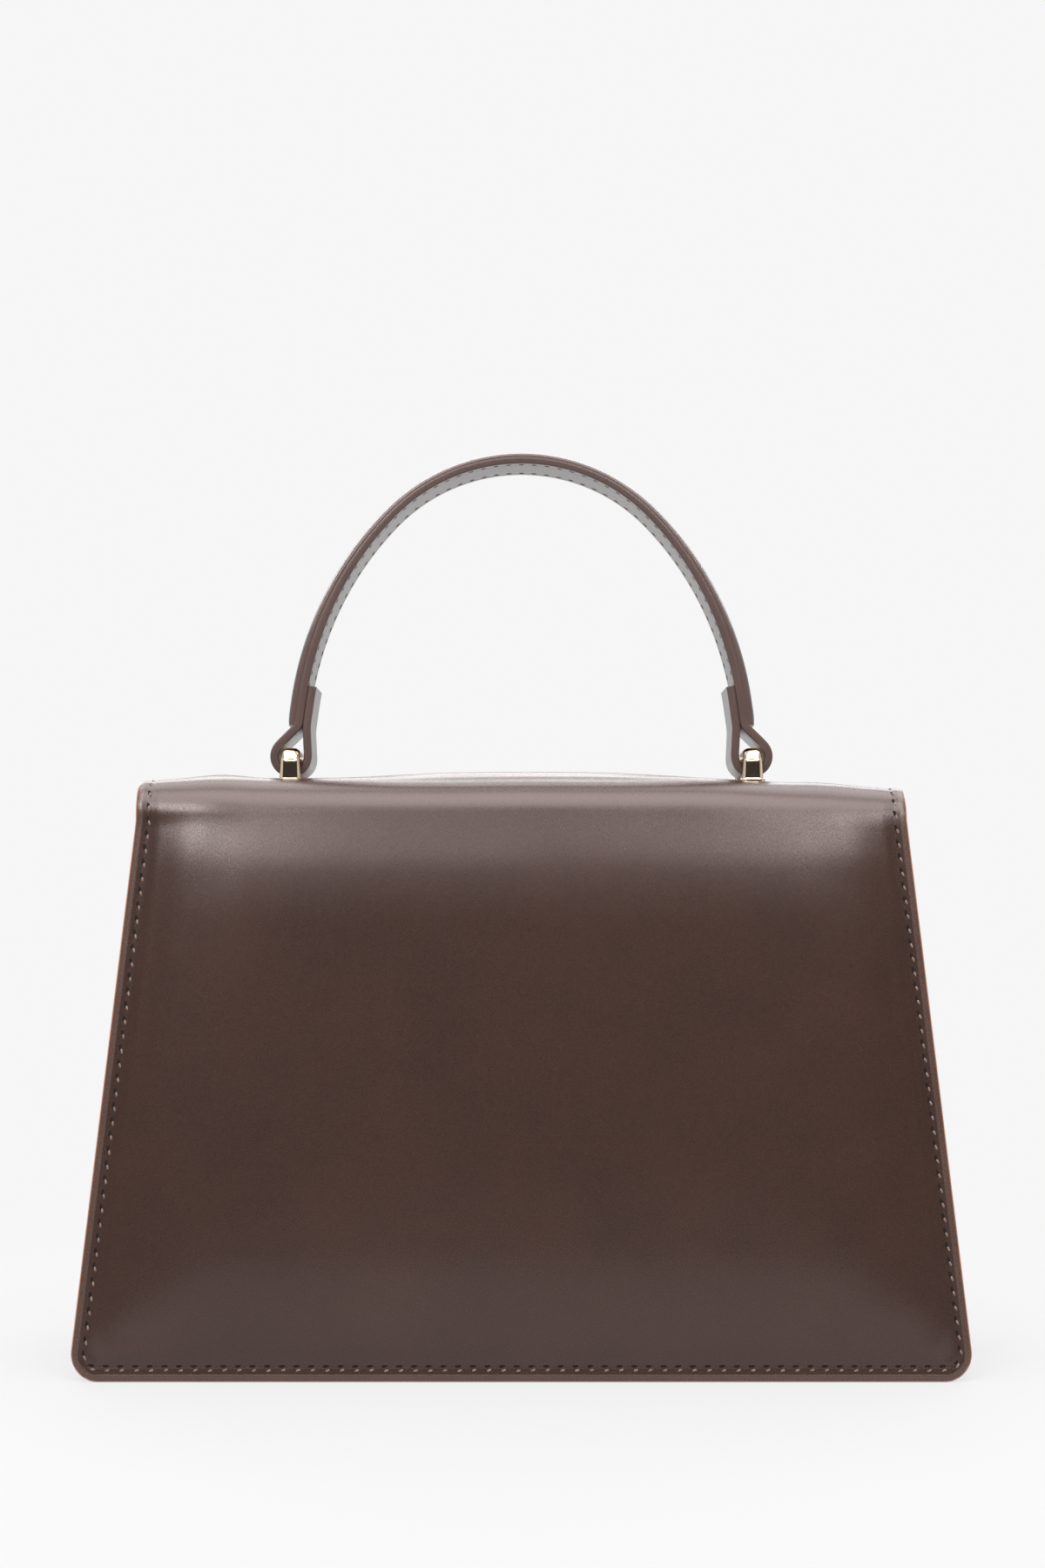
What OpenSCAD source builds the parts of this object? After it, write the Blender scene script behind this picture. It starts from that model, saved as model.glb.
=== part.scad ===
// Structured top-handle bag in leather. The flap, the top and the back are one padded
// skin that turns over twice; the handle wraps round two metal arches on the top.
// Millimetres, +Z up, the back panel faces -Y and the flap faces +Y.

/* [Body] */
// Greatest width of the back and front panels, near the foot
body_w = 240; // [210:5:300]
// Width of the bag where the panels turn over at the top
top_w = 210; // [190:5:270]
// Depth over the sewn edges at the foot
body_d = 86; // [76:2:110]
// Height of the centre of each turn-over
fold_h = 150; // [135:5:180]
// Lean of the back and front panels from upright, in degrees
lean = 5.7; // [4:0.1:6.5]
// Radius of the lower corners of the panels
corner_r = 7.5; // [6:0.5:16]
// Radius of the sewn edge round each turn-over
fold_r = 10.2; // [9:0.2:12]
// Width of the sewn edge outside the side walls
edge_w = 5; // [4:0.5:6]
// Height of the mouth, at the top of the front panel and side walls
mouth_h = 148; // [130:1:148]

/* [Padding] */
// Rise of the padded field above the sewn edge
puff = 1.8; // [1:0.2:2.4]
// Distance from the edge at which the padding starts to rise
puff_start = 4.6; // [3:0.2:6]
// Distance from the edge at which the padding has its full height
puff_end = 11; // [9:0.5:15]

/* [Leather and board] */
// Thickness of the outer leather
skin_t = 1.3; // [1:0.1:1.8]
// Thickness of the leather of the side walls and the base
gusset_t = 1.2; // [1:0.1:1.6]
// Thickness of the board behind the back and front panels
board_t = 1.2; // [0.8:0.1:1.6]
// Thickness of the woven lining
lining_t = 0.6; // [0.4:0.1:0.8]
// Thickness of the board in the base
base_board_t = 2; // [1.5:0.1:3]
// Height of the two seams between the base panel and the side walls
base_seam_h = 20; // [16:1:30]

/* [Flap] */
// Height of the flap's lower edge above the floor
flap_h = 55; // [40:1:80]
// Radius of the flap's lower corners
flap_r = 18; // [10:1:30]
// Gap between the padded front panel and the inside of the flap
flap_gap = 1.4; // [1.3:0.1:2]
// Thickness of the board in the flap
flap_board_t = 0.7; // [0.5:0.1:1]
// Thickness of the leather that lines the flap
flap_lining_t = 1; // [0.8:0.1:1.2]

/* [Top] */
// Thickness of the board under the top
top_board_t = 1.6; // [1.4:0.1:2]
// Thickness of the leather that lines the two turn-overs
fold_lining_t = 1; // [0.8:0.1:1.2]

/* [Closure] */
// Height of the press closure, measured up the flap
snap_v = 78; // [72:1:110]
// Diameter of the two closure discs
snap_d = 18; // [14:1:20]
// Diameter of the stud on the flap
stud_d = 6; // [5:0.2:6.4]
// Length of the stud
stud_l = 1.5; // [1.2:0.1:1.6]
// Clearance round the stud, for the arc that the lifting top makes
stud_clear = 1.4; // [1.3:0.1:2]
// Height of the socket disc above the padded front
socket_proud = 0.5; // [0.3:0.1:0.6]
// Height of the stud disc above the flap's lining
plug_proud = 0.4; // [0.2:0.1:0.5]
// Thickness of the hidden washers
washer_t = 0.6; // [0.4:0.1:0.7]

/* [Arches] */
// Distance between the bars of the two arches
bar_span = 129.8; // [110:1:150]
// Height of the bar's axis above the leather
bar_h = 7.8; // [7.6:0.1:8.2]
// Width of the bar that each arch is bent from
leg_w = 5.6; // [5:0.1:5.8]
// Thickness of that bar, rounded on both sides
leg_t = 3; // [2.6:0.1:3.2]
// Radius of the inside of its two bends
bend_r = 1.6; // [1.2:0.1:2]
// Side play between the handle and the legs
leg_play = 0.75; // [0.7:0.05:1.5]
// Height of the lip at the foot of each leg
lip_t = 0.7; // [0.5:0.1:1]
// Reach of that lip past the leg
lip_w = 0.5; // [0.3:0.1:0.9]
// Diameter of the screws that hold the arches
screw_d = 1.6; // [1.2:0.1:1.8]
// Depth of the screws in the legs
screw_bite = 4; // [3:0.5:4.5]
// Thickness of the plates under the board
plate_t = 0.8; // [0.6:0.1:1]

/* [Handle] */
// Height of the handle's edge above the floor, at its highest
handle_h = 254.3; // [235:1:290]
// Width of the handle
handle_w = 18; // [14:1:22]
// Distance of the handle's legs inside the bars, where they run straight
leg_inset = 0.5; // [0.2:0.1:1]
// Height of that place above the floor
handle_leg_h = 184.8; // [182:0.2:192]
// Angle of the straight legs from upright, in degrees
leg_tilt = 8; // [5:1:12]
// Length of the straight legs, down to the end of the cover
leg_l = 6.9; // [5:0.1:9]
// Thickness of the cover at its edges
cover_t = 1.4; // [1:0.1:1.8]
// Rise of the cover's crown above its edges
crown = 1.2; // [0.6:0.1:1.6]
// Thickness of the strap under the cover
strap_t = 2.3; // [2:0.1:2.6]
// Radius of the loop's inside, round the bar
loop_r = 3.6; // [3.5:0.1:3.8]
// Height of the loop's centre above the leather
loop_h = 6.95; // [6.9:0.05:7.2]
// Width of the filler under the cover
core_w = 13; // [9:0.5:14]
// Length of the strap's end above the loop
tab_l = 10; // [8:0.5:14]

/* [Pocket] */
// Width of the slip pocket on the back lining
pocket_w = 130; // [80:5:150]
// Height of the pocket's lower edge above the floor
pocket_h = 55; // [40:5:80]
// Height of the pocket from that edge to its mouth
pocket_l = 70; // [50:5:75]
// Room inside the pocket
pocket_room = 0.5; // [0.3:0.1:1]
// Width of the pocket's sewn border
pocket_hem = 4; // [3:0.5:6]

/* [Binding] */
// Depth of the binding over the front panel's top edge
binding_l = 4.4; // [3:0.2:4.4]
// Thickness of the binding's leather
binding_t = 0.9; // [0.6:0.1:1]

/* [Hidden] */

// Clearance between pieces that are fitted into each other
fit = 0.1;
// Overrun of every cut
over = 1;
// A hair's breadth: a cut reaches past a face that it opens by it, and it parts pieces
// of two bodies that meet end to end, and padding from the skin over it
leaf = 0.02;
// Smallest radius that an inset corner keeps
corner_min = 1;
// Steps in a rounded corner, up the padding's slope and across the handle's crown
corner_steps = 8;
rise_steps = 4;
crown_steps = 6;
// Steps round each rounded side of an arch's bar, and round each of its bends
bar_steps = 6;
bend_steps = 6;
// Steps along the crown arc and the side arc of the handle, and round its loop
arc_steps = 10;
loop_steps = 24;
// Reach of the blocks that pieces are cut from
reach = 2 * body_w;

// Depths below the outer face of a sewn edge
board_d = skin_t;
lining_d = board_d + board_t;
inner_d = lining_d + lining_t;
// Inset of what lies inside the side walls
inside = edge_w + gusset_t + fit;
// Slope of the panels' side edges
taper = atan((body_w - top_w) / 2 / (fold_h - corner_r));

// The flap's sewn edge lies this far outside the front panel's
flap_t = skin_t + flap_board_t + flap_lining_t;
flap_out = puff + flap_gap + flap_t;
// Heights along the leaning panels at which the turn-overs start
back_v = (fold_h + fold_r * sin(lean)) / cos(lean);
flap_v = (fold_h + (fold_r - flap_out) * sin(lean)) / cos(lean);
mouth_v = mouth_h / cos(lean);
flap_end = flap_v - leaf;
// Where the flat top lies, between the centres of the two turn-overs
top_back = -body_d / 2 + fold_r * cos(lean) + back_v * sin(lean);
top_front = body_d / 2 - (fold_r - flap_out) * cos(lean) - flap_v * sin(lean);
top_middle = (top_back + top_front) / 2;
edge_z = fold_h + fold_r;
field_z = edge_z + puff;
turn_angle = 90 - lean;

// Colours
leather = "#4a3733";
dark_leather = "#3b2b28";
lining_colour = "#a98c6b";
board_colour = "#9b9488";
foam_colour = "#d8d2c4";
gold = "#d8bf86";
steel = "#9a9ca0";

// Frames: the leaning frame has X along the panel, Y inwards and Z up the panel
module leaning() {
    translate([0, -body_d / 2, 0]) rotate([-lean, 0, 0]) children();
}

module front() {
    mirror([0, 1, 0]) children();
}

function turned_over(half) = concat(half, [for (k = [len(half) - 1:-1:0]) [-half[k].x, half[k].y]]);

// The rounded lower corner of a panel's outline, at an inset from its edge
function half_corner(inset, bottom, radius) =
    let (r = max(radius - inset, corner_min), z = bottom + inset + r)
    let (x = body_w / 2 - (z - corner_r) * tan(taper) - (inset + r) / cos(taper))
    [for (k = [0:corner_steps]) let (a = -90 + (90 + taper) * k / corner_steps)
        [x + r * cos(a), z + r * sin(a)]];

// Half the outline of a panel: a lower corner, the tapered side and the upright top
function half_outline(inset, bottom, radius) = concat(
    half_corner(inset, bottom, radius),
    [[top_w / 2 - inset, fold_h], [top_w / 2 - inset, fold_h + reach]]
);

module face_outline(inset, bottom = 0, radius = corner_r) {
    polygon(turned_over(half_outline(inset, bottom, radius)));
}

module upright() {
    rotate([90, 0, 0]) linear_extrude(reach, center = true) children();
}

// A layer of a panel, between two depths and up to a height along the panel
module layer(inset, from, to, end, bottom = 0, radius = corner_r) {
    intersection() {
        upright() face_outline(inset, bottom, radius);
        leaning() translate([-reach, from, -reach]) cube([2 * reach, to - from, reach + end]);
    }
}

// One step up the smooth slope of the padding: distance from the edge and height
function rise(k) = [
    puff_start + (puff_end - puff_start) * k / rise_steps,
    puff * (1 - cos(180 * k / rise_steps)) / 2
];
outer_profile = [for (k = [0:rise_steps]) rise(k)];
under_profile = [for (k = [0:rise_steps]) rise(k) - [0, skin_t]];
foam_profile = concat(
    [[rise(1)[0], -skin_t]],
    [for (k = [1:rise_steps]) under_profile[k] - [0, leaf]]
);
skin_profile = concat(
    [for (k = [rise_steps:-1:0]) under_profile[k]],
    [[0, -skin_t], [0, 0]],
    outer_profile
);

// One line round a padded panel, at an inset and a depth: from its upper right end down
// the side, along the foot and up to the upper left end
function panel_line(inset, depth, end, top_inset, bottom, radius) =
    let (
        corner = half_corner(inset, bottom, radius),
        low = corner[corner_steps],
        shoulder = [top_w / 2 - inset, fold_h],
        top_z = (end - inset * top_inset) * cos(lean) - depth * sin(lean),
        top = top_z > fold_h ? [shoulder.x, top_z]
            : low + (shoulder - low) * (top_z - low.y) / (shoulder.y - low.y),
        half = concat([top, top_z > fold_h ? shoulder : (low + top) / 2],
            [for (k = [corner_steps:-1:0]) corner[k]])
    )
    [for (p = turned_over(half))
        [p.x, -body_d / 2 + depth / cos(lean) + p.y * tan(lean), p.y]];

// A padded panel, lofted through the lines of its profile
module padded_form(profile, out, end, top_inset = 0, bottom = 0, radius = corner_r) {
    rings = len(profile);
    around = 2 * (corner_steps + 3);
    lines = [for (step = profile) panel_line(step[0], out - step[1], end, top_inset, bottom, radius)];
    bands = [for (r = [0:rings - 2], k = [0:around - 2 + top_inset])
        [r * around + k, r * around + (k + 1) % around,
            (r + 1) * around + (k + 1) % around, (r + 1) * around + k]];
    caps = [
        [for (k = [around - 1:-1:0]) k],
        [for (k = [0:around - 1]) (rings - 1) * around + k]
    ];
    ends = top_inset > 0 ? [] : [concat(
        [for (r = [0:rings - 1]) r * around],
        [for (r = [rings - 1:-1:0]) (r + 1) * around - 1]
    )];
    polyhedron([for (line = lines) each line], concat(bands, caps, ends));
}

// The space that lies deeper than a given depth behind both panels
module between_panels(depth) {
    foot = body_d / 2 - depth / cos(lean);
    crest = foot - (fold_h + reach) * tan(lean) / 2;
    rotate([90, 0, 90]) linear_extrude(reach, center = true)
        polygon([[-foot, 0], [foot, 0], [crest, (fold_h + reach) / 2], [-crest, (fold_h + reach) / 2]]);
}

// Everything below a height
module below(height) {
    translate([-reach, -reach, height - reach]) cube([2 * reach, 2 * reach, reach]);
}

// A round hole or pin across the front panel or the flap, at the closure
module closure_pin(d, from, to) {
    front() leaning() translate([0, from, snap_v]) rotate([-90, 0, 0]) cylinder(h = to - from, d = d, $fn = 64);
}

// Depths of the closure, below the outer face of the front panel's sewn edge
socket_d = -puff - socket_proud;
socket_bed_share = 0.3;
socket_t = stud_l + 2 * leaf + fit + socket_bed_share * skin_t;
flap_inner_d = -flap_out + flap_t;
plug_d = flap_inner_d + plug_proud;
plug_t = plug_proud + flap_lining_t / 2;
neck_d = stud_d - 2 * fit;

// The back
module back_panel() {
    color(leather) padded_form(skin_profile, 0, back_v);
}

module back_foam() {
    color(foam_colour) padded_form(foam_profile, 0, back_v);
}

module back_board() {
    color(board_colour) layer(inside, board_d, lining_d, back_v);
}

module back_lining() {
    color(lining_colour) layer(inside, lining_d, inner_d, back_v);
}

// A flat pocket, sewn round three sides and open at its mouth
module slip_pocket() {
    color(lining_colour) leaning() difference() {
        translate([-pocket_w / 2, inner_d, pocket_h]) cube([pocket_w, pocket_room + lining_t, pocket_l]);
        translate([-pocket_w / 2 + pocket_hem, inner_d - over, pocket_h + pocket_hem])
            cube([pocket_w - 2 * pocket_hem, pocket_room + over, pocket_l]);
    }
}

// The front, which ends at the mouth
module front_panel() {
    color(leather) difference() {
        front() padded_form(skin_profile, 0, mouth_v, 1);
        closure_pin(snap_d + 2 * fit, socket_d - over, socket_d + socket_t);
        closure_pin(neck_d + 2 * fit, socket_d, lining_d);
    }
}

module front_foam() {
    color(foam_colour) difference() {
        front() padded_form(foam_profile, 0, mouth_v, 1);
        closure_pin(snap_d + 2 * fit, socket_d - over, socket_d + socket_t);
        closure_pin(neck_d + 2 * fit, socket_d, lining_d);
    }
}

module front_board() {
    color(board_colour) difference() {
        front() layer(inside, board_d, lining_d, mouth_v);
        closure_pin(neck_d + 2 * fit, socket_d, lining_d + over);
        closure_pin(snap_d + 2 * fit, lining_d - washer_t, lining_d + over);
    }
}

module front_lining() {
    color(lining_colour) front() layer(inside, lining_d, inner_d, mouth_v);
}

// A folded strip of leather over the front panel's top edge; its inner leg ends at the
// side walls
module front_binding() {
    color(dark_leather) front() difference() {
        union() {
            layer(0, -binding_t, lining_d, mouth_v + binding_t);
            layer(inside, -binding_t, inner_d + binding_t, mouth_v + binding_t);
        }
        layer(-over, 0, inner_d, mouth_v);
        leaning() translate([-reach, -reach / 2, mouth_v - binding_l - reach]) cube([2 * reach, reach, reach]);
    }
}

// The side walls and the base: a strip whose two edges turn out behind the panels
module gusset_strip() {
    intersection() {
        union() {
            intersection() {
                upright() difference() {
                    face_outline(edge_w);
                    face_outline(edge_w + gusset_t);
                }
                between_panels(skin_t);
            }
            for (side = [0, 1]) mirror([0, side, 0]) difference() {
                layer(0, skin_t, skin_t + gusset_t, back_v);
                upright() face_outline(edge_w + gusset_t);
            }
        }
        below(mouth_h - fit);
    }
}

module side_gusset(side) {
    color(leather) intersection() {
        gusset_strip();
        translate([side > 0 ? 0 : -reach, -reach, base_seam_h]) cube([reach, 2 * reach, reach]);
    }
}

module gusset_left() {
    side_gusset(-1);
}

module gusset_right() {
    side_gusset(1);
}

module base_panel() {
    color(leather) intersection() {
        gusset_strip();
        below(base_seam_h);
    }
}

module base_board() {
    color(board_colour) intersection() {
        upright() face_outline(inside, gusset_t + edge_w - inside, corner_r);
        between_panels(inner_d + fit);
        below(edge_w + gusset_t + base_board_t);
    }
}

module gusset_lining() {
    color(lining_colour) intersection() {
        upright() difference() {
            face_outline(inside - fit, base_board_t + fit);
            face_outline(inside - fit + lining_t, base_board_t + fit);
        }
        between_panels(inner_d + fit);
        below(mouth_h - binding_l - binding_t);
    }
}

// The closure on the front panel: a disc with a socket, its neck and its washer
module snap_socket() {
    color(gold) difference() {
        union() {
            closure_pin(snap_d, socket_d, socket_d + socket_t);
            closure_pin(neck_d, socket_d + socket_t / 2, lining_d - washer_t);
        }
        closure_pin(stud_d + 2 * stud_clear, socket_d - over, socket_d + stud_l);
    }
}

module socket_washer() {
    color(steel) closure_pin(snap_d, lining_d - washer_t, lining_d);
}

// Cross-sections of the top and the turn-overs: X across, Y above the sewn edge
module skin_section() {
    half = top_w / 2;
    polygon(turned_over(concat(
        [[half, -skin_t], [half, 0]],
        [for (step = outer_profile) [half - step.x, step.y]]
    )));
}

module foam_section() {
    polygon(turned_over([for (step = under_profile) [top_w / 2 - step.x, step.y]]));
}

module flat_section(inset, from, to) {
    translate([inset - top_w / 2, from]) square([top_w - 2 * inset, to - from]);
}

// A turn-over, from the upright normal of its panel round to the flat top
module fold(y, start) {
    translate([0, y, fold_h]) rotate([0, 90, 0]) rotate([0, 0, start])
        rotate_extrude(angle = turn_angle, $fn = 96) translate([fold_r, 0]) mirror([1, -1, 0]) children();
}

module back_fold() {
    color(leather) fold(top_back, 180) skin_section();
}

module back_fold_lining() {
    color(dark_leather) fold(top_back, 180) flat_section(0, -skin_t - fold_lining_t, -skin_t);
}

module front_fold() {
    color(leather) fold(top_front, 90 + lean) skin_section();
}

module front_fold_lining() {
    color(dark_leather) fold(top_front, 90 + lean) flat_section(0, -skin_t - fold_lining_t, -skin_t);
}

// The flat top, between the two turn-overs
module flat_top() {
    translate([0, top_front, edge_z]) rotate([90, 0, 0])
        linear_extrude(top_front - top_back - leaf) children();
}

// Upright holes or pins under the four legs of the arches
leg_y = handle_w / 2 + leg_play + leg_t / 2;
module at_legs() {
    for (x = [-1, 1], y = [-1, 1]) translate([x * bar_span / 2, top_middle + y * leg_y, 0]) children();
}

board_z = edge_z - skin_t;
top_lining_z = board_z - top_board_t;

module screw_hole() {
    at_legs() translate([0, 0, top_lining_z - over])
        cylinder(h = field_z - top_lining_z + 2 * over, d = screw_d + 2 * fit, $fn = 32);
}

module top_panel() {
    color(leather) difference() {
        flat_top() difference() {
            skin_section();
            foam_section();
        }
        screw_hole();
    }
}

module top_foam() {
    color(foam_colour) difference() {
        flat_top() foam_section();
        screw_hole();
    }
}

// The plates lie in the board's underside, flush with it
plate_w = leg_w + 2 * screw_d;
plate_l = 2 * leg_y + 3 * screw_d;
module plate_block(grow) {
    for (side = [-1, 1]) translate([side * bar_span / 2, top_middle, top_lining_z + plate_t / 2])
        cube([plate_w + 2 * grow, plate_l + 2 * grow, plate_t], center = true);
}

module top_board() {
    color(board_colour) difference() {
        flat_top() flat_section(inside, -skin_t - top_board_t, -skin_t);
        screw_hole();
        plate_block(fit);
    }
}

module top_lining() {
    color(lining_colour) difference() {
        flat_top() flat_section(0, -skin_t - top_board_t - lining_t, -skin_t);
        translate([0, 0, -leaf]) flat_top() flat_section(inside - fit, -skin_t - top_board_t + leaf, over);
    }
}

module arch_plates() {
    color(steel) difference() {
        plate_block(0);
        at_legs() translate([0, 0, top_lining_z - over])
            cylinder(h = plate_t + 2 * over, d = screw_d + 2 * fit, $fn = 32);
        at_legs() translate([0, 0, top_lining_z - fit])
            cylinder(h = plate_t, d1 = 2 * screw_d + 4 * fit, d2 = screw_d + 2 * fit, $fn = 32);
    }
}

module arch_screws() {
    color(steel) at_legs() {
        translate([0, 0, top_lining_z])
            cylinder(h = field_z + screw_bite - top_lining_z, d = screw_d, $fn = 32);
        translate([0, 0, top_lining_z])
            cylinder(h = plate_t - fit, d1 = 2 * screw_d, d2 = screw_d, $fn = 32);
    }
}

// The outline of the arch's bar, rounded on both sides
function bar_outline(width, thick) = [
    for (side = [-1, 1], k = [0:bar_steps]) let (a = 90 * side - 90 + 180 * k / bar_steps)
        [thick / 2 * cos(a), side * (width - thick) / 2 + thick / 2 * sin(a)]
];

// Sweeps a section along places in an upright plane, each a point and the direction
// outwards. The section's points are a height outwards and a place across, and its ends
// are closed by the given faces
module swept(section, cap, places) {
    around = len(section);
    last = (len(places) - 1) * around;
    points = [for (place = places, p = section)
        let (at = place[0] + p.x * place[1]) [at.x, p.y, at.y]];
    bands = [for (r = [0:around:last - 1], k = [0:around - 1])
        [r + (k + 1) % around, r + k, r + around + k, r + around + (k + 1) % around]];
    far_cap = [for (face = cap) [for (k = [len(face) - 1:-1:0]) last + face[k]]];
    polyhedron(points, concat(bands, cap, far_cap));
}

// An arch: a bar bent twice, from the foot of one leg to the foot of the other, with a
// lip at each foot
bar_z = field_z + bar_h;
bend_m = bend_r + leg_t / 2;
function bend_place(side, a) = [
    [side * (leg_y - bend_m + bend_m * cos(a)), bar_z - bend_m + bend_m * sin(a)],
    [side * cos(a), sin(a)]
];
arch_places = concat(
    [[[leg_y, field_z], [1, 0]]],
    [for (k = [0:bend_steps]) bend_place(1, 90 * k / bend_steps)],
    [for (k = [bend_steps:-1:0]) bend_place(-1, 90 * k / bend_steps)],
    [[[-leg_y, field_z], [-1, 0]]]
);
bar_points = 2 * bar_steps + 2;

module arch(x) {
    color(gold) translate([x, top_middle, 0]) difference() {
        union() {
            rotate([0, 0, 90])
                swept(bar_outline(leg_w, leg_t), [[for (k = [0:bar_points - 1]) k]], arch_places);
            for (side = [-1, 1]) translate([0, side * leg_y, field_z]) rotate([0, 0, 90])
                linear_extrude(lip_t) polygon(bar_outline(leg_w + 2 * lip_w, leg_t + 2 * lip_w));
        }
        for (side = [-1, 1]) translate([0, side * leg_y, field_z - over])
            cylinder(h = screw_bite + fit + over, d = screw_d + fit, $fn = 32);
    }
}

module arch_left() {
    arch(-bar_span / 2);
}

module arch_right() {
    arch(bar_span / 2);
}

// The flap
module flap_panel() {
    color(leather) front() padded_form(skin_profile, -flap_out, flap_end, 0, flap_h, flap_r);
}

module flap_foam() {
    color(foam_colour) front() padded_form(foam_profile, -flap_out, flap_end, 0, flap_h, flap_r);
}

module flap_board() {
    color(board_colour) difference() {
        front() layer(inside, -flap_out + skin_t, -flap_out + skin_t + flap_board_t, flap_end, flap_h, flap_r);
        closure_pin(neck_d + 2 * fit, -flap_out, plug_d);
        closure_pin(snap_d + 2 * fit, -flap_out, -flap_out + skin_t + washer_t);
    }
}

module flap_lining() {
    color(dark_leather) difference() {
        front() layer(0, -flap_out + skin_t, flap_inner_d, flap_end, flap_h, flap_r);
        front() layer(inside - fit, -flap_out, flap_inner_d - flap_lining_t, flap_v + over, flap_h, flap_r);
        closure_pin(neck_d + 2 * fit, -flap_out, plug_d);
        closure_pin(snap_d + 2 * fit, plug_d - plug_t, plug_d + over);
    }
}

// The closure on the flap: a disc with a stud, its neck and its washer
module snap_plug() {
    color(gold) {
        closure_pin(snap_d, plug_d - plug_t, plug_d);
        closure_pin(stud_d, plug_d - plug_t, plug_d + stud_l);
        closure_pin(neck_d, -flap_out + skin_t + washer_t, plug_d);
    }
}

module plug_washer() {
    color(steel) closure_pin(snap_d, -flap_out + skin_t, -flap_out + skin_t + washer_t);
}

// The handle's edge follows a crown arc, two side arcs and two straight legs
arc_turn = 45;
arc_x = bar_span / 2 - leg_inset;
arc_z = handle_h - handle_leg_h;
crown_share = cos(leg_tilt) - sin(arc_turn);
side_share = cos(arc_turn) - sin(leg_tilt);
side_r = (arc_x * (1 - cos(arc_turn)) - arc_z * sin(arc_turn))
    / (crown_share * (1 - cos(arc_turn)) - side_share * sin(arc_turn));
crown_r = (arc_x - side_r * crown_share) / sin(arc_turn);
crown_z = handle_h - crown_r;
side_x = (crown_r - side_r) * sin(arc_turn);
side_z = crown_z + (crown_r - side_r) * cos(arc_turn);

// Places along the right half of the edge line, from the crown down: a point and the
// direction outwards
function crown_place(a) = [[crown_r * cos(a), crown_z + crown_r * sin(a)], [cos(a), sin(a)]];
function side_place(a) = [[side_x + side_r * cos(a), side_z + side_r * sin(a)], [cos(a), sin(a)]];
leg_out = [cos(leg_tilt), sin(leg_tilt)];
leg_foot = side_place(leg_tilt)[0] + leg_l * [sin(leg_tilt), -cos(leg_tilt)];
half_places = concat(
    [for (k = [1:arc_steps]) crown_place(90 - (90 - arc_turn) * k / arc_steps)],
    [for (k = [1:arc_steps]) side_place(arc_turn - (arc_turn - leg_tilt) * k / arc_steps)],
    [[leg_foot, leg_out]]
);

// The places along the whole edge line, from the right foot to the left foot
edge_places = concat(
    [for (k = [len(half_places) - 1:-1:0]) half_places[k]],
    [crown_place(90)],
    [for (place = half_places) [[-place[0].x, place[0].y], [-place[1].x, place[1].y]]]
);

// A low arc across the handle, over a foot at a given height
function crown_points(width, foot) =
    let (r = (width * width / 4 + crown * crown) / (2 * crown), a = asin(width / 2 / r))
    [for (k = [0:crown_steps]) let (t = -a + 2 * a * k / crown_steps)
        [foot + crown - r + r * cos(t), r * sin(t)]];

core_section = crown_points(core_w, -cover_t);
cover_section = concat(
    crown_points(handle_w, 0),
    [[-cover_t, handle_w / 2]],
    [for (k = [crown_steps:-1:0]) core_section[k]],
    [[-cover_t, -handle_w / 2]]
);
cover_end = 2 * crown_steps + 2;
cover_cap = concat(
    [for (k = [0:crown_steps - 1]) [k, k + 1, cover_end - k - 1, cover_end - k]],
    [[crown_steps, crown_steps + 1, crown_steps + 2], [cover_end, cover_end + 1, 0]]
);

// The loop round the bar, in the plane of the handle
loop_out = loop_r + strap_t;
loop_x = bar_span / 2;
loop_z = field_z + loop_h;
strap_in = cover_t + strap_t;
tab_in = strap_in + strap_t;
tab_a = leg_tilt + (tab_l - leg_l) / side_r * 180 / PI;
tab_place = side_place(tab_a);
function leg_point(depth) = leg_foot - depth * leg_out;
function tangent_angle(p, r) =
    let (v = p - [loop_x, loop_z]) atan2(v.y, v.x) - acos(r / norm(v));
function loop_arc(depth, r) = let (start = tangent_angle(leg_point(depth), r))
    [for (k = [0:loop_steps]) let (a = start - (start + 180) * k / loop_steps)
        [loop_x + r * cos(a), loop_z + r * sin(a)]];

// Half the strap: down its outer side, round the loop, up the sewn tab and back up the
// inner side
half_strap = concat(
    [for (place = half_places) place[0] - cover_t * place[1]],
    loop_arc(cover_t, loop_out),
    [leg_point(tab_in), side_place(leg_tilt)[0] - tab_in * leg_out],
    [tab_place[0] - tab_in * tab_place[1], tab_place[0] - strap_in * tab_place[1]],
    [for (k = [len(half_places) - 1:-1:0]) if (half_places[k][1].y > sin(tab_a))
        half_places[k][0] - strap_in * half_places[k][1]]
);

module handle_strap() {
    color(dark_leather) translate([0, top_middle, 0]) rotate([90, 0, 0])
        linear_extrude(handle_w, center = true) difference() {
            polygon(turned_over(half_strap));
            for (side = [0, 1]) mirror([side, 0])
                polygon(concat([leg_point(strap_in)], loop_arc(strap_in, loop_r)));
        }
}

module handle_cover() {
    color(leather) translate([0, top_middle, 0]) swept(cover_section, cover_cap, edge_places);
}

module handle_core() {
    color(foam_colour) translate([0, top_middle, 0])
        swept(core_section, [[for (k = [0:crown_steps]) k]], edge_places);
}

back_panel();
back_foam();
back_board();
back_lining();
slip_pocket();
front_panel();
front_foam();
front_board();
front_lining();
front_binding();
gusset_left();
gusset_right();
base_panel();
base_board();
gusset_lining();
snap_socket();
socket_washer();
back_fold();
back_fold_lining();
top_panel();
top_foam();
top_board();
top_lining();
arch_left();
arch_right();
arch_plates();
arch_screws();
front_fold();
front_fold_lining();
flap_panel();
flap_foam();
flap_board();
flap_lining();
snap_plug();
plug_washer();
handle_strap();
handle_cover();
handle_core();
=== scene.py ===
import math
import random

import bpy
from mathutils import Matrix, Vector


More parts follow.
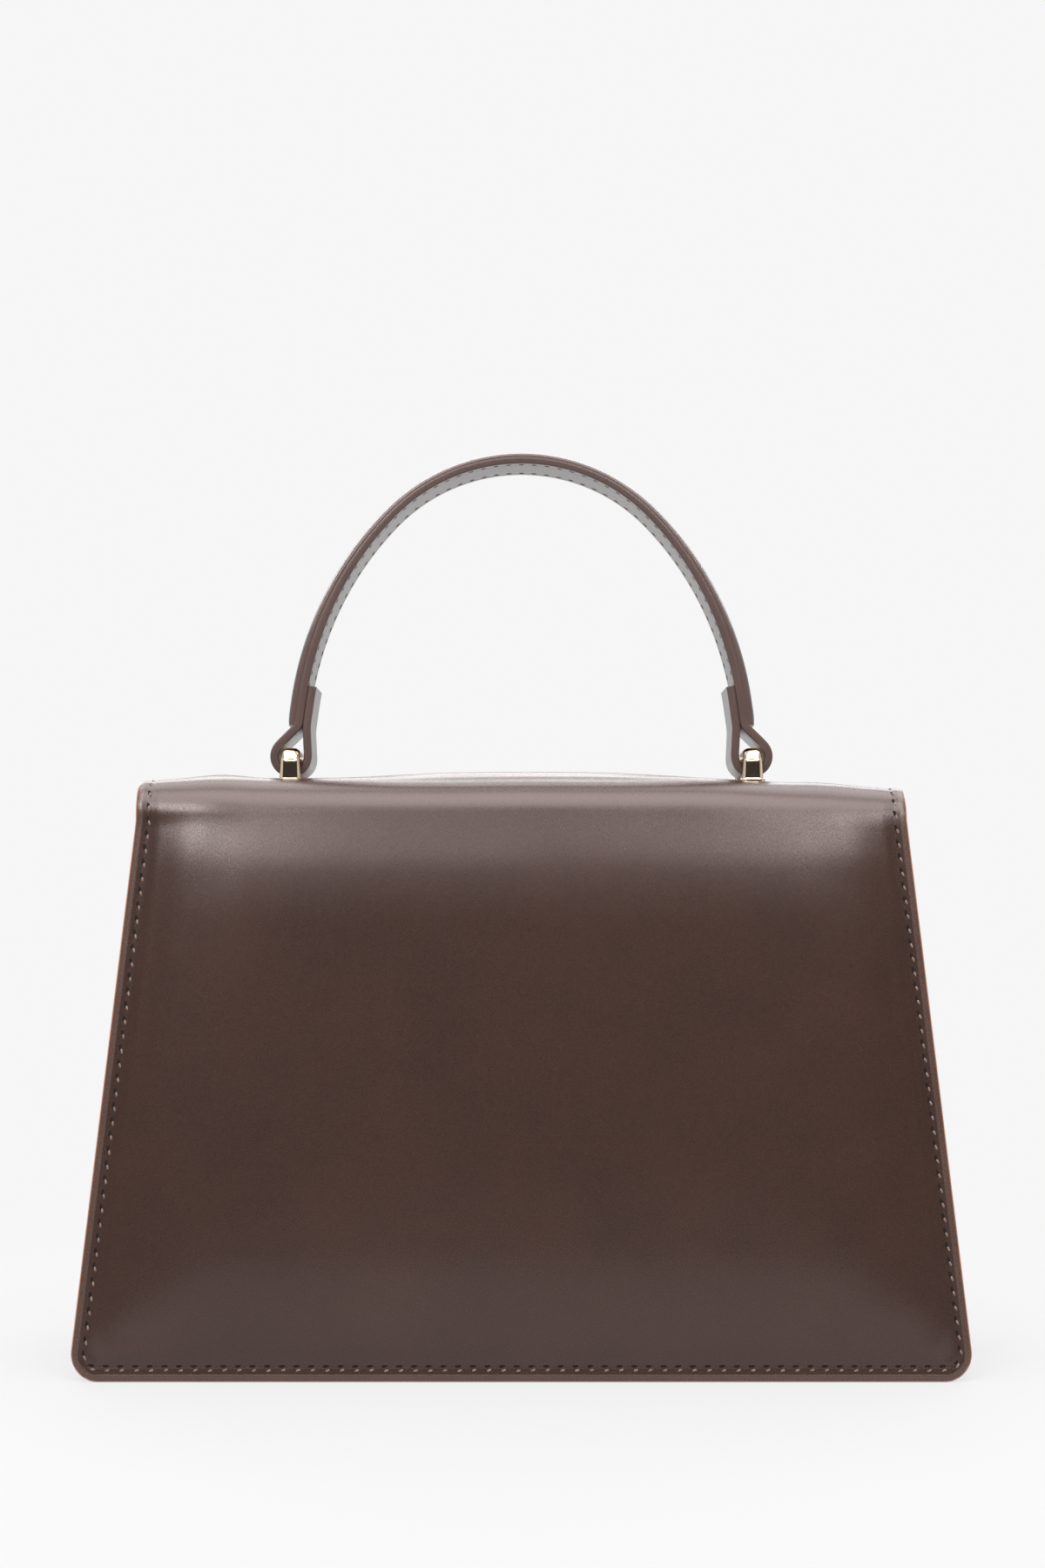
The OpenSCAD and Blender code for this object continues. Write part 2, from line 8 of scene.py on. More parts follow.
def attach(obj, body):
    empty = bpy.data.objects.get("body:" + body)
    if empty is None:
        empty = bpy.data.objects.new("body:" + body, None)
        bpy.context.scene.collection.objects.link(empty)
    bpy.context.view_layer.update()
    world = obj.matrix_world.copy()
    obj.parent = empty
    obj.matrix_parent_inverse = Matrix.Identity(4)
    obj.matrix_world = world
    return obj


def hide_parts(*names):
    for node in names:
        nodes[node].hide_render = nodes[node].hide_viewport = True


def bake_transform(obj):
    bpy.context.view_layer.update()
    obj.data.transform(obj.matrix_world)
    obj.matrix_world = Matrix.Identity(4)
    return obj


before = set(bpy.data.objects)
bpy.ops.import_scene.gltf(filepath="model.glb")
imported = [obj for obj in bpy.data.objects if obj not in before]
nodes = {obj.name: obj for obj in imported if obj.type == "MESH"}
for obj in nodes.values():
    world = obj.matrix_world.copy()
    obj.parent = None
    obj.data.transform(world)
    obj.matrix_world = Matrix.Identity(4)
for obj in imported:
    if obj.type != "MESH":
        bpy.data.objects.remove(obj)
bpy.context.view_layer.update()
mm = 0.001
chance = random.Random(11)
print("frame loaded")

# Camera, square on to the back of the bag
view = {"place": (0.0003, -0.663, 0.1217), "lens": 53.6, "shiftY": 0.0894}
bpy.ops.object.camera_add(location=view["place"], rotation=(math.radians(90), 0, 0))
camera = bpy.context.object
camera.name = "camera"
camera.data.lens = view["lens"]
camera.data.sensor_width = 36
camera.data.shift_y = view["shiftY"]
camera.data.clip_start = 0.01
bpy.context.scene.camera = camera
print("camera placed")

# The bag's own measures in millimetres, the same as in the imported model
bag = {
    "footWide": 240, "topWide": 210, "deep": 86, "foldHigh": 150, "lean": 5.7, "cornerR": 7.5,
    "foldR": 10.2, "skin": 1.3, "mouthHigh": 148, "flapOut": 6.2, "flapFoot": 55, "flapR": 18,
}
lean = math.radians(bag["lean"])
cosLean = math.cos(lean)
sinLean = math.sin(lean)
taper = math.atan((bag["footWide"] - bag["topWide"]) / 2 / (bag["foldHigh"] - bag["cornerR"]))
turnAngle = math.pi / 2 - lean
turnLong = bag["foldR"] * turnAngle
edgeZ = bag["foldHigh"] + bag["foldR"]


def turnStart(out):
    return (bag["foldHigh"] + (bag["foldR"] - out) * sinLean) / cosLean


def turnCentre(out):
    return -bag["deep"] / 2 + (bag["foldR"] - out) * cosLean + turnStart(out) * sinLean


topMid = (turnCentre(0) - turnCentre(bag["flapOut"])) / 2


def smooth(t):
    t = min(max(t, 0), 1)
    return t * t * (3 - 2 * t)


def softMin(a, b, k):
    h = max(k - abs(a - b), 0) / k
    return min(a, b) - h * h * k / 4


def hump(t, width):
    return math.exp(-(t / width) ** 2)


# Place and outward direction at a length v up a panel, over its turn-over and across the top
def skinSpot(v, out):
    start = turnStart(out)
    if v <= start:
        return (-bag["deep"] / 2 - out * cosLean + v * sinLean, v * cosLean + out * sinLean,
                -cosLean, sinLean)
    if v <= start + turnLong:
        a = lean + (v - start) / bag["foldR"]
        return (turnCentre(out) - bag["foldR"] * math.cos(a), bag["foldHigh"] + bag["foldR"] * math.sin(a),
                -math.cos(a), math.sin(a))
    return turnCentre(out) + v - start - turnLong, edgeZ, 0, 1


def sideAt(z):
    if z >= bag["foldHigh"]:
        return bag["topWide"] / 2
    return bag["footWide"] / 2 - (z - bag["cornerR"]) * math.tan(taper)


# The same with the bend at the turn-over eased, for the pad
def sideSoft(z):
    ease = 10
    below = min(max(bag["foldHigh"] - z, -ease), ease)
    past = max(bag["foldHigh"] - z - ease, 0)
    return bag["topWide"] / 2 + ((below + ease) ** 2 / (4 * ease) + past) * math.tan(taper)


def halfWide(z, bottom, radius):
    cz = bottom + radius
    if z >= cz + radius * math.sin(taper):
        return sideAt(z)
    cx = sideAt(cz) - radius / math.cos(taper)
    return cx + math.sqrt(max(radius * radius - (z - cz) ** 2, 0))


# True distance of a point from a panel's outline
def edgeDistance(x, z, bottom, radius):
    cz = bottom + radius
    cx = sideAt(cz) - radius / math.cos(taper)
    side = (sideAt(z) - abs(x)) * math.cos(taper)
    if abs(x) > cx and z < cz + radius * math.sin(taper):
        return radius - math.hypot(abs(x) - cx, z - cz)
    return min(side, z - bottom)


# How the leather lies over its padding: flat along the sewn edge, with a step and a swell inside it
pad = {
    "puff": 1.8, "puffFrom": 3.9, "puffTo": 16, "puffTurn": 8, "puffPower": 1.3, "topBlend": 8,
    "stepHigh": 0.75, "stepLong": 3.4, "footStep": 2.4, "footBlend": 14, "crownFrom": 8, "crownLong": 50,
    "turnBelow": 13, "turnReach": 27, "turnFlat": 0.75, "turnShift": 0.4, "sideSeam": 3.3, "footSeam": 4.2,
    "grooveDeep": 0.15, "grooveWide": 0.55, "crease": 2.0, "edgeStep": 0.09, "edgeShift": 0.25,
    "edgeEase": 0.4, "edgeRound": 2.1, "edgeDrop": 0.7, "rimHighlight": 0.36,
    "bellyHigh": 1.7, "bellyReach": 30, "bellyTurn": 12, "bellyFrom": 4, "bellyLong": 30,
}


# How far a place is into the turn-over, 0 on the panel and 1 once the leather turns
def turnShare(v, out):
    return smooth((v - turnStart(out) + pad["turnBelow"]) / pad["turnReach"])


# Height of the leather above the plane of the sewn edge, at a length v up the panel and the height z
def padLift(x, v, z, skin, top):
    out, bottom, radius = skin["out"], skin["bottom"], skin["radius"]
    side = (sideAt(z) - abs(x)) * math.cos(taper)
    foot = (z - bottom) / cosLean
    rim = max(edgeDistance(x, z, bottom, radius), 0)
    turn = turnShare(v, out) if skin["overTop"] else 0
    field = softMin((sideSoft(z) - abs(x)) * math.cos(taper), foot, skin["fieldBlend"])
    seam = softMin(side - pad["sideSeam"], foot - pad["footSeam"], skin["seamBlend"])
    if not skin["overTop"]:
        field = softMin(field, top - v, pad["topBlend"])
    start = pad["puffFrom"] - pad["turnShift"] * turn
    stepHigh = pad["stepHigh"] * (1 - pad["turnFlat"] * turn)
    stepLong = pad["stepLong"] + pad["footStep"] * smooth((side - foot) / pad["footBlend"])
    puffLong = pad["puffTo"] + pad["puffTurn"] * turn
    lift = stepHigh * smooth((field - start) / stepLong)
    lift += (pad["puff"] - stepHigh) * (1 - (1 - smooth((field - start) / puffLong)) ** pad["puffPower"])
    lift += skin["crown"] * smooth((field - pad["crownFrom"]) / pad["crownLong"])
    if skin["overTop"]:
        lift += belly(turnStart(out) - v) * smooth((field - pad["bellyFrom"]) / pad["bellyLong"])
    lift -= pad["grooveDeep"] * hump(seam, pad["grooveWide"])
    lift += pad["edgeStep"] * (1 - smooth((rim - pad["crease"] + pad["edgeShift"]) / pad["edgeEase"]))
    if rim < pad["edgeRound"]:
        lift -= pad["edgeDrop"] * (1 - math.sqrt(max(1 - (1 - rim / pad["edgeRound"]) ** 2, 0)))
    return lift


# The panel leans back little by little before it turns over: t is the distance below the turn
def belly(t):
    high, reach, turnReach = pad["bellyHigh"], pad["bellyReach"], pad["bellyTurn"]
    if t >= reach:
        return high
    if t >= 0:
        return high * (1 - (1 - t / reach) ** 2)
    u = min(-t / turnReach, 1)
    return -2 * high / reach * turnReach * (u - u * u / 2)


# Distances from the edge at which the mesh has a line, close together where the leather bends
edgeSteps = [0, 0.05, 0.16, 0.32, 0.5, 0.9, 1.25, 1.5, 1.75, 2.0, 2.3, 2.7, 3.0, 3.3, 3.6, 4.0, 4.5, 5.1,
             5.8, 6.5, 7.3, 8.1, 9.0, 10.0, 11.2, 12.6, 14.5, 17]


def spread(low, high, step):
    count = max(1, round((high - low) / step))
    return [low + (high - low) * k / count for k in range(count + 1)]


# Place across a panel of one column of its mesh: close together at both edges and even in between
def columnAt(i, half, steps, middle):
    if i < len(steps):
        return -half + steps[i]
    if i >= len(steps) + len(middle):
        return half - steps[2 * len(steps) + len(middle) - 1 - i]
    return middle[i - len(steps)] * (half - steps[-1])


def footRows(radius):
    rows = {round(s, 3) for s in edgeSteps if s < 16}
    rows |= {round(radius * (1 - math.cos(math.radians(a))), 3) for a in range(0, 91, 7)}
    rows = sorted(rows)
    kept = [rows[0]]
    for r in rows[1:]:
        if r - kept[-1] > 0.03:
            kept.append(r)
    return kept


# A grid of quads whose points are then put in place, one by one
def shapedGrid(name, across, along, place):
    bpy.ops.object.select_all(action="DESELECT")
    bpy.ops.mesh.primitive_grid_add(x_subdivisions=across, y_subdivisions=along, size=2)
    piece = bpy.context.object
    piece.name = name
    piece.data.name = name
    for vertex in piece.data.vertices:
        i = round((vertex.co.x + 1) / 2 * across)
        j = round((vertex.co.y + 1) / 2 * along)
        vertex.co = Vector(place(i, j)) * mm
    return piece


def pick(piece):
    bpy.ops.object.select_all(action="DESELECT")
    piece.select_set(True)
    bpy.context.view_layer.objects.active = piece


def applyModifier(piece, kind, **settings):
    modifier = piece.modifiers.new(kind.lower(), kind)
    for key, value in settings.items():
        setattr(modifier, key, value)
    pick(piece)
    bpy.ops.object.modifier_apply(modifier=modifier.name)


def smoothFaces(piece, angle=40):
    pick(piece)
    bpy.ops.object.shade_smooth_by_angle(angle=math.radians(angle))


def faceOut(piece):
    pick(piece)
    bpy.ops.object.mode_set(mode="EDIT")
    bpy.ops.mesh.select_all(action="SELECT")
    bpy.ops.mesh.remove_doubles(threshold=0.000001)
    bpy.ops.mesh.normals_make_consistent(inside=False)
    bpy.ops.object.mode_set(mode="OBJECT")


# Joins the first and last columns of a swept form where they meet, and closes what is open
def closeEnds(piece):
    pick(piece)
    bpy.ops.object.mode_set(mode="EDIT")
    bpy.ops.mesh.select_all(action="SELECT")
    bpy.ops.mesh.remove_doubles(threshold=0.0000005)
    bpy.ops.mesh.fill_holes(sides=0)
    bpy.ops.object.mode_set(mode="OBJECT")
    faceOut(piece)


# Gives a sheet of points its materials and thickness, and rounds its edges
def finishSheet(piece, materials, thick, rounding=0.0):
    for material in materials:
        piece.data.materials.append(material)
    applyModifier(piece, "SOLIDIFY", thickness=thick * mm, offset=0, material_offset_rim=len(materials) - 1)
    faceOut(piece)
    if rounding:
        applyModifier(piece, "BEVEL", width=rounding * mm, segments=2, limit_method="ANGLE",
                      angle_limit=math.radians(60))
    smoothFaces(piece, 50)
    return piece


def grey(value):
    return value, value, value, 1


# Materials
def newMaterial(name):
    material = bpy.data.materials.new(name)
    material.use_nodes = True
    tree = material.node_tree
    shader = tree.nodes["Principled BSDF"]
    coords = tree.nodes.new("ShaderNodeTexCoord")
    return material, tree, shader, coords


# Sets inputs of a node, each to a value or from the output of another node
def setInputs(tree, node, inputs):
    for socket, value in inputs.items():
        if isinstance(value, bpy.types.NodeSocket):
            tree.links.new(value, node.inputs[socket])
        else:
            node.inputs[socket].default_value = value


def newNode(tree, kind, inputs, **settings):
    node = tree.nodes.new("ShaderNode" + kind)
    for key, value in settings.items():
        setattr(node, key, value)
    setInputs(tree, node, inputs)
    return node


def noiseNode(tree, coords, scale, detail, rough):
    return newNode(tree, "TexNoise", {
        "Scale": scale, "Detail": detail, "Roughness": rough, "Vector": coords.outputs["Object"]})


def rampNode(tree, source, stops):
    node = newNode(tree, "ValToRGB", {"Fac": source})
    elements = node.color_ramp.elements
    while len(elements) < len(stops):
        elements.new(0.5)
    for element, (place, colour) in zip(elements, stops):
        element.position = place
        element.color = (*colour, 1)
    return node


def rangeNode(tree, source, low, high, toLow, toHigh):
    return newNode(tree, "MapRange", {
        "Value": source, "From Min": low, "From Max": high, "To Min": toLow, "To Max": toHigh})


def bumpNode(tree, source, distance, after=None):
    inputs = {"Distance": distance, "Strength": 1.0, "Height": source}
    if after is not None:
        inputs["Normal"] = after.outputs["Normal"]
    return newNode(tree, "Bump", inputs)


def calfMaterial(name, finish):
    material, tree, shader, coords = newMaterial(name)
    tone = noiseNode(tree, coords, finish["toneScale"], 4, 0.6)
    colour = rampNode(tree, tone.outputs["Fac"], [(0.30, finish["dark"]), (0.70, finish["light"])])
    stretch = newNode(tree, "Mapping", {"Scale": (0.72, 1.0, 1.15), "Vector": coords.outputs["Object"]})
    pores = newNode(tree, "TexVoronoi", {
        "Scale": finish["grainScale"], "Vector": stretch.outputs["Vector"]}, feature="DISTANCE_TO_EDGE")
    cells = rangeNode(tree, pores.outputs["Distance"], 0.0, 0.22, 0.0, 1.0)
    fine = noiseNode(tree, coords, finish["grainScale"] * 1.9, 3, 0.6)
    grain = newNode(tree, "Mix", {
        0: finish["fineShare"], 2: cells.outputs["Result"], 3: fine.outputs["Fac"]}, data_type="FLOAT")
    soft = noiseNode(tree, coords, finish["waveScale"], 2, 0.5)
    rough = rangeNode(tree, fine.outputs["Fac"], 0.3, 0.7, finish["rough"] - 0.05, finish["rough"] + 0.05)
    waves = bumpNode(tree, soft.outputs["Fac"], finish["waveDeep"] * mm)
    bump = bumpNode(tree, grain.outputs[0], finish["grainDeep"] * mm, waves)
    setInputs(tree, shader, {
        "Base Color": colour.outputs["Color"], "Roughness": rough.outputs["Result"],
        "Normal": bump.outputs["Normal"], "Specular IOR Level": finish["specular"],
        "Specular Tint": (*finish["tint"], 1), "Coat Weight": finish["coat"],
        "Coat Roughness": finish["coatRough"], "Coat IOR": 1.45})
    return material


calfFinish = {
    "dark": (0.0245, 0.0095, 0.0059), "light": (0.0315, 0.0122, 0.0076), "toneScale": 38,
    "grainScale": 2000, "fineShare": 0.4, "grainDeep": 0.010, "waveScale": 45, "waveDeep": 0.08,
    "rough": 0.28, "specular": 0.70, "tint": (1.0, 0.88, 0.87), "coat": 0.0, "coatRough": 0.2,
}
liningCalfFinish = dict(calfFinish, dark=(0.050, 0.036, 0.032), light=(0.066, 0.048, 0.043), rough=0.52,
                        specular=0.35, coat=0.0)
edgeFinish = dict(calfFinish, dark=(0.046, 0.025, 0.020), light=(0.066, 0.036, 0.029), grainScale=900,
                  fineShare=0.9, grainDeep=0.002, waveScale=120, waveDeep=0.012, rough=0.36, coat=0.2,
                  coatRough=0.25)
calf = calfMaterial("satinCalf", calfFinish)
liningCalf = calfMaterial("liningCalf", liningCalfFinish)
edgePaint = calfMaterial("edgePaint", edgeFinish)
# Lighter orange-brown for the outermost rounding of a panel's edge: a painted highlight along the rim
rimHighlight = calfMaterial("rimHighlight", dict(edgeFinish, dark=(0.30, 0.115, 0.055), light=(0.38, 0.155, 0.078)))
strapCalf = calfMaterial("strapCalf", dict(liningCalfFinish, rough=0.30, specular=0.95, coat=0.35))
smoothPaint = calfMaterial("smoothPaint", dict(edgeFinish, grainDeep=0.0, waveDeep=0.0))
# The satin calf a shade lighter: painted sheen on the flat flange outside the stitches
flangeSheenCalf = calfMaterial(
    "flangeSheenCalf", dict(calfFinish, dark=(0.055, 0.030, 0.023), light=(0.070, 0.039, 0.030)))
coverCalf = calfMaterial("coverCalf", dict(calfFinish, grainDeep=0.003, waveDeep=0.02, rough=0.34))


def suedeMaterial(name, finish):
    material, tree, shader, coords = newMaterial(name)
    tone = noiseNode(tree, coords, finish["toneScale"], 5, 0.65)
    colour = rampNode(tree, tone.outputs["Fac"], [(0.32, finish["dark"]), (0.68, finish["light"])])
    nap = noiseNode(tree, coords, finish["napScale"], 3, 0.7)
    bump = bumpNode(tree, nap.outputs["Fac"], finish["napDeep"] * mm)
    setInputs(tree, shader, {
        "Base Color": colour.outputs["Color"], "Normal": bump.outputs["Normal"],
        "Roughness": finish["rough"], "Sheen Weight": finish["sheen"], "Sheen Roughness": 0.4,
        "Specular IOR Level": 0.25})
    return material


suede = suedeMaterial("liningSuede", {
    "dark": (0.32, 0.21, 0.125), "light": (0.42, 0.29, 0.18), "toneScale": 60, "napScale": 2600,
    "napDeep": 0.06, "rough": 0.85, "sheen": 0.35})
boardFinish = suedeMaterial("fibreBoard", {
    "dark": (0.28, 0.25, 0.20), "light": (0.36, 0.33, 0.27), "toneScale": 300, "napScale": 1400,
    "napDeep": 0.03, "rough": 0.8, "sheen": 0.0})
darkThread = suedeMaterial("darkThread", {
    "dark": (0.020, 0.012, 0.010), "light": (0.045, 0.027, 0.023), "toneScale": 700, "napScale": 3800,
    "napDeep": 0.05, "rough": 0.6, "sheen": 0.1})
# Pale thread on the panels: partly the thread's own colour and partly a painted glint just below each hole
threadAndGlint = suedeMaterial("sewingThreadAndGlint", {
    "dark": (0.120, 0.080, 0.068), "light": (0.250, 0.175, 0.155), "toneScale": 900, "napScale": 3800,
    "napDeep": 0.05, "rough": 0.6, "sheen": 0.2})
# Near black: painted shade in the needle holes, laid on as flat dark discs
holeShade = suedeMaterial("needleHoleShade", {
    "dark": (0.006, 0.004, 0.004), "light": (0.010, 0.007, 0.006), "toneScale": 900, "napScale": 2000,
    "napDeep": 0.02, "rough": 0.9, "sheen": 0.0})


def metalMaterial(name, finish):
    material, tree, shader, coords = newMaterial(name)
    tone = noiseNode(tree, coords, 160, 3, 0.5)
    colour = rampNode(tree, tone.outputs["Fac"], [(0.3, finish["dark"]), (0.7, finish["light"])])
    scuff = noiseNode(tree, coords, 900, 4, 0.7)
    rough = rangeNode(tree, scuff.outputs["Fac"], 0.35, 0.75, finish["rough"], finish["rough"] + 0.07)
    bump = bumpNode(tree, scuff.outputs["Fac"], finish["scuff"] * mm)
    setInputs(tree, shader, {
        "Base Color": colour.outputs["Color"], "Roughness": rough.outputs["Result"],
        "Normal": bump.outputs["Normal"], "Metallic": 1})
    return material


gold = metalMaterial("paleGold", {
    "dark": (0.84, 0.64, 0.45), "light": (0.89, 0.71, 0.52), "rough": 0.07, "scuff": 0.002})
steel = metalMaterial("brushedSteel", {
    "dark": (0.42, 0.43, 0.45), "light": (0.52, 0.53, 0.55), "rough": 0.26, "scuff": 0.006})
print("materials made")


# Distances between the rows of a skin's mesh: up the panel, near the turn, in it, over the top and at
# the mouth, and how long the stretches near the turn and at the mouth are
rowSteps = {"panel": 3.2, "near": 1.2, "turn": 0.62, "top": 1.9, "mouth": 0.8, "nearLong": 6,
            "mouthLong": 14}


# A padded leather skin over a panel: its outer side swells inside the seam and its inner side lies flat
def paddedSkin(name, skin):
    out, bottom, radius, facing = skin["out"], skin["bottom"], skin["radius"], skin["facing"]
    foot = (bottom - out * sinLean) / cosLean
    top = bag["mouthHigh"] / cosLean
    rows = [foot + r for r in footRows(radius)]
    if skin["overTop"]:
        seam = turnStart(out) + turnLong - turnCentre(out) + facing * -topMid
        rows += spread(rows[-1], turnStart(out) - rowSteps["nearLong"], rowSteps["panel"])[1:]
        rows += spread(rows[-1], turnStart(out), rowSteps["near"])[1:]
        rows += spread(rows[-1], turnStart(out) + turnLong, rowSteps["turn"])[1:]
        rows += spread(rows[-1], seam, rowSteps["top"])[1:]
    else:
        rows += spread(rows[-1], top - rowSteps["mouthLong"], rowSteps["panel"])[1:]
        rows += spread(rows[-1], top, rowSteps["mouth"])[1:]
    middle = spread(-1, 1, 2 / 58)[1:-1]
    count = 2 * len(edgeSteps) + len(middle)

    def place(i, j, inner=False):
        v = rows[j]
        y, z, ny, nz = skinSpot(v, out)
        x = columnAt(i, halfWide(z, bottom, radius), edgeSteps, middle)
        wave = wander(x * -facing, v, out, skin)
        lift = -bag["skin"] + min(wave, 0) if inner else padLift(x, v, z, skin, top) + wave
        if skin["dent"] and not inner:
            away = math.hypot(x, v - skin["dent"]["high"]) - skin["dent"]["flat"]
            lift -= skin["dent"]["deep"] * (1 - smooth(away / skin["dent"]["rim"]))
        return -facing * x, facing * -(y + ny * lift), z + nz * lift

    piece = shapedGrid(name, count - 1, len(rows) - 1, place)
    for material in (calf, edgePaint, rimHighlight, flangeSheenCalf):
        piece.data.materials.append(material)
    # The outermost rounding gets the painted rim highlight, and the flange out to the crease the painted
    # sheen, each as a lighter colour
    for face in piece.data.polygons:
        x, y, z = face.center / mm
        inset = edgeDistance(x, z, bottom, radius)
        if inset < pad["rimHighlight"]:
            face.material_index = 2
        elif inset < pad["crease"]:
            face.material_index = 3
    size = len(piece.data.vertices)
    applyModifier(piece, "SOLIDIFY", thickness=bag["skin"] * mm, offset=-1, material_offset_rim=1)
    for k in range(size):
        piece.data.vertices[size + k].co = Vector(place(k % count, k // count, True)) * mm
    smoothFaces(piece, 45)
    return piece


# Slow waves over the turn-over and the top: the leather sags behind the turn, domes between the arches
# and stands higher at the left corner than at the right one. x runs from the middle to the right as the
# panel is seen, past from the start of the turn-over and side from the side edge, all in millimetres
sag = {
    "wave": 0.10, "ripple": 0.06, "dome": 1.75, "leftDome": 0.9, "rightDome": 0.45, "valley": 0.30,
    "topValley": 0.10, "leftPillow": 0.80, "rightPillow": 0.65, "legX": 64.9, "legWide": 0.25,
    "legDeep": 0.5, "tip": 1.1,
}


def wander(x, v, out, skin):
    if not skin["overTop"]:
        return 0.0
    past = v - turnStart(out)
    side = sideSoft(v) - abs(x)
    waves = sag["wave"] * math.sin(x / 17.5 + 0.8) + sag["ripple"] * math.sin(x / 8.7 + v / 9 + 2.1)
    lift = smooth((past + 16) / 18) * smooth((side - 3) / 18) * waves
    domes = sag["dome"] * smooth((63 - abs(x)) / 48)
    domes += sag["leftDome"] * hump(x + 84, 11)
    domes += sag["rightDome"] * hump(x - 82, 9)
    lift += smooth((past - 11.5) / 8) * domes
    valley = sag["valley"] * hump(past - 11.2, 2.6)
    valley += sag["topValley"] * hump(past - 15.2 - 0.02 * x, 1.6)
    lift -= valley * smooth((70 - abs(x)) / 40)
    pillow = smooth((2 - past) / 16) * (1 - smooth((-past - 16) / 80))
    lift += (sag["leftPillow"] if x < 0 else sag["rightPillow"]) * smooth((side - 3.8) / 13) * pillow
    lift -= sag["legWide"] * hump(abs(x) - sag["legX"], 11) * smooth((past - 6) / 6)
    legs = hump(abs(x) - sag["legX"], 7) * smooth((past - 19) / 3)
    lift -= sag["legDeep"] * legs
    tip = sag["tip"] * smooth((-x - 45) / 60) - sag["tip"] * smooth((x - 40) / 62)
    return lift + smooth((past + 3) / 13) * tip


skins = {
    "back": {"out": 0, "bottom": 0, "radius": bag["cornerR"], "facing": -1, "overTop": True, "crown": 0.9,
             "fieldBlend": 9, "seamBlend": 3, "dent": None},
    "flap": {"out": bag["flapOut"], "bottom": bag["flapFoot"], "radius": bag["flapR"], "facing": 1,
             "overTop": True, "crown": 0.8, "fieldBlend": 16, "seamBlend": 12, "dent": None},
    "front": {"out": 0, "bottom": 0, "radius": bag["cornerR"], "facing": 1, "overTop": False, "crown": 0.3,
              "fieldBlend": 9, "seamBlend": 3, "dent": {"high": 78, "deep": 1.6, "flat": 4.5, "rim": 4.2}},
}
backSkin = paddedSkin("backSkin", skins["back"])
flapSkin = paddedSkin("flapSkin", skins["flap"])
frontSkin = paddedSkin("frontSkin", skins["front"])
print("padded skins made", [len(p.data.polygons) for p in (backSkin, flapSkin, frontSkin)])

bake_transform(backSkin)
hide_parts("back_panel", "back_foam", "back_fold")
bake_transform(flapSkin)
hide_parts("top_panel", "top_foam", "front_fold", "flap_panel", "flap_foam")
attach(frontSkin, "root")
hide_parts("front_panel", "front_foam")

# Side walls and base: a leather strip round the outline whose two edges turn out behind the panels
strip = {
    "thick": 1.2, "wallSteps": 14, "bow": 0.9, "seamHigh": 20.0, "topHigh": 147.8,
    # inset from the outline and depth behind the panel's face, from the sewn edge to the wall
    "bend": [(0.2, 1.9), (1.2, 1.9), (2.4, 1.9), (3.5, 1.92), (4.3, 2.02), (4.95, 2.35), (5.4, 2.9),
             (5.6, 3.7)],
}


def backY(z, depth):
    return -bag["deep"] / 2 + depth / cosLean + z * math.tan(lean)


# Points and outward directions along the outline, from the left top round the foot to the right top
def outlineWalk(top, step):
    radius = bag["cornerR"]
    cx = sideAt(radius) - radius / math.cos(taper)
    half = [(x, 0, 0, -1) for x in spread(0, cx, step)]
    for a in spread(-math.pi / 2, taper, math.radians(9))[1:]:
        half.append((cx + radius * math.cos(a), radius + radius * math.sin(a), math.cos(a), math.sin(a)))
    low = radius + radius * math.sin(taper)
    for z in spread(low, top, step)[1:]:
        half.append((sideAt(z), z, math.cos(taper), math.sin(taper)))
    return [(-x, z, -nx, nz) for x, z, nx, nz in reversed(half[1:])] + half


def insetPoint(station, inset):
    x, z, nx, nz = station
    return x - nx * inset, z - nz * inset


def stripPiece(name, stations, bow):
    bend, wall = strip["bend"], strip["wallSteps"]
    count = 2 * len(bend) + wall - 1

    def place(i, j):
        station = stations[j]
        if i < len(bend):
            x, z = insetPoint(station, bend[i][0])
            return x, backY(z, bend[i][1]), z
        if i >= count - len(bend):
            inset, depth = bend[count - 1 - i]
            x, z = insetPoint(station, inset)
            return x, -backY(z, depth), z
        t = (i - len(bend) + 1) / wall
        hang = bow * smooth((station[1] - 12) / 40) * math.sin(math.pi * t) ** 2
        x, z = insetPoint(station, bend[-1][0] + hang)
        y = backY(z, bend[-1][1])
        return x, y - 2 * y * t, z

    piece = shapedGrid(name, count - 1, len(stations) - 1, place)
    return finishSheet(piece, (calf, edgePaint), strip["thick"], 0.3)


walk = outlineWalk(strip["topHigh"], 4.0)
leftWalk = [s for s in walk if s[0] < 0 and s[1] > strip["seamHigh"] + 2] + [
    (-sideAt(strip["seamHigh"] + 0.2), strip["seamHigh"] + 0.2, -math.cos(taper), math.sin(taper))]
baseWalk = [s for s in walk if s[1] < strip["seamHigh"] - 2]
baseWalk = [(-sideAt(strip["seamHigh"]), strip["seamHigh"], -math.cos(taper), math.sin(taper))] + baseWalk
baseWalk += [(-baseWalk[0][0], baseWalk[0][1], -baseWalk[0][2], baseWalk[0][3])]
rightWalk = [(-x, z, -nx, nz) for x, z, nx, nz in leftWalk]
gussetLeft = stripPiece("gussetLeft", leftWalk, strip["bow"])
gussetRight = stripPiece("gussetRight", rightWalk, strip["bow"])
basePiece = stripPiece("basePiece", baseWalk, 0)
for piece, node in ((gussetLeft, "gusset_left"), (gussetRight, "gusset_right"), (basePiece, "base_panel")):
    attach(piece, "root")
    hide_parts(node)
print("side walls and base made")


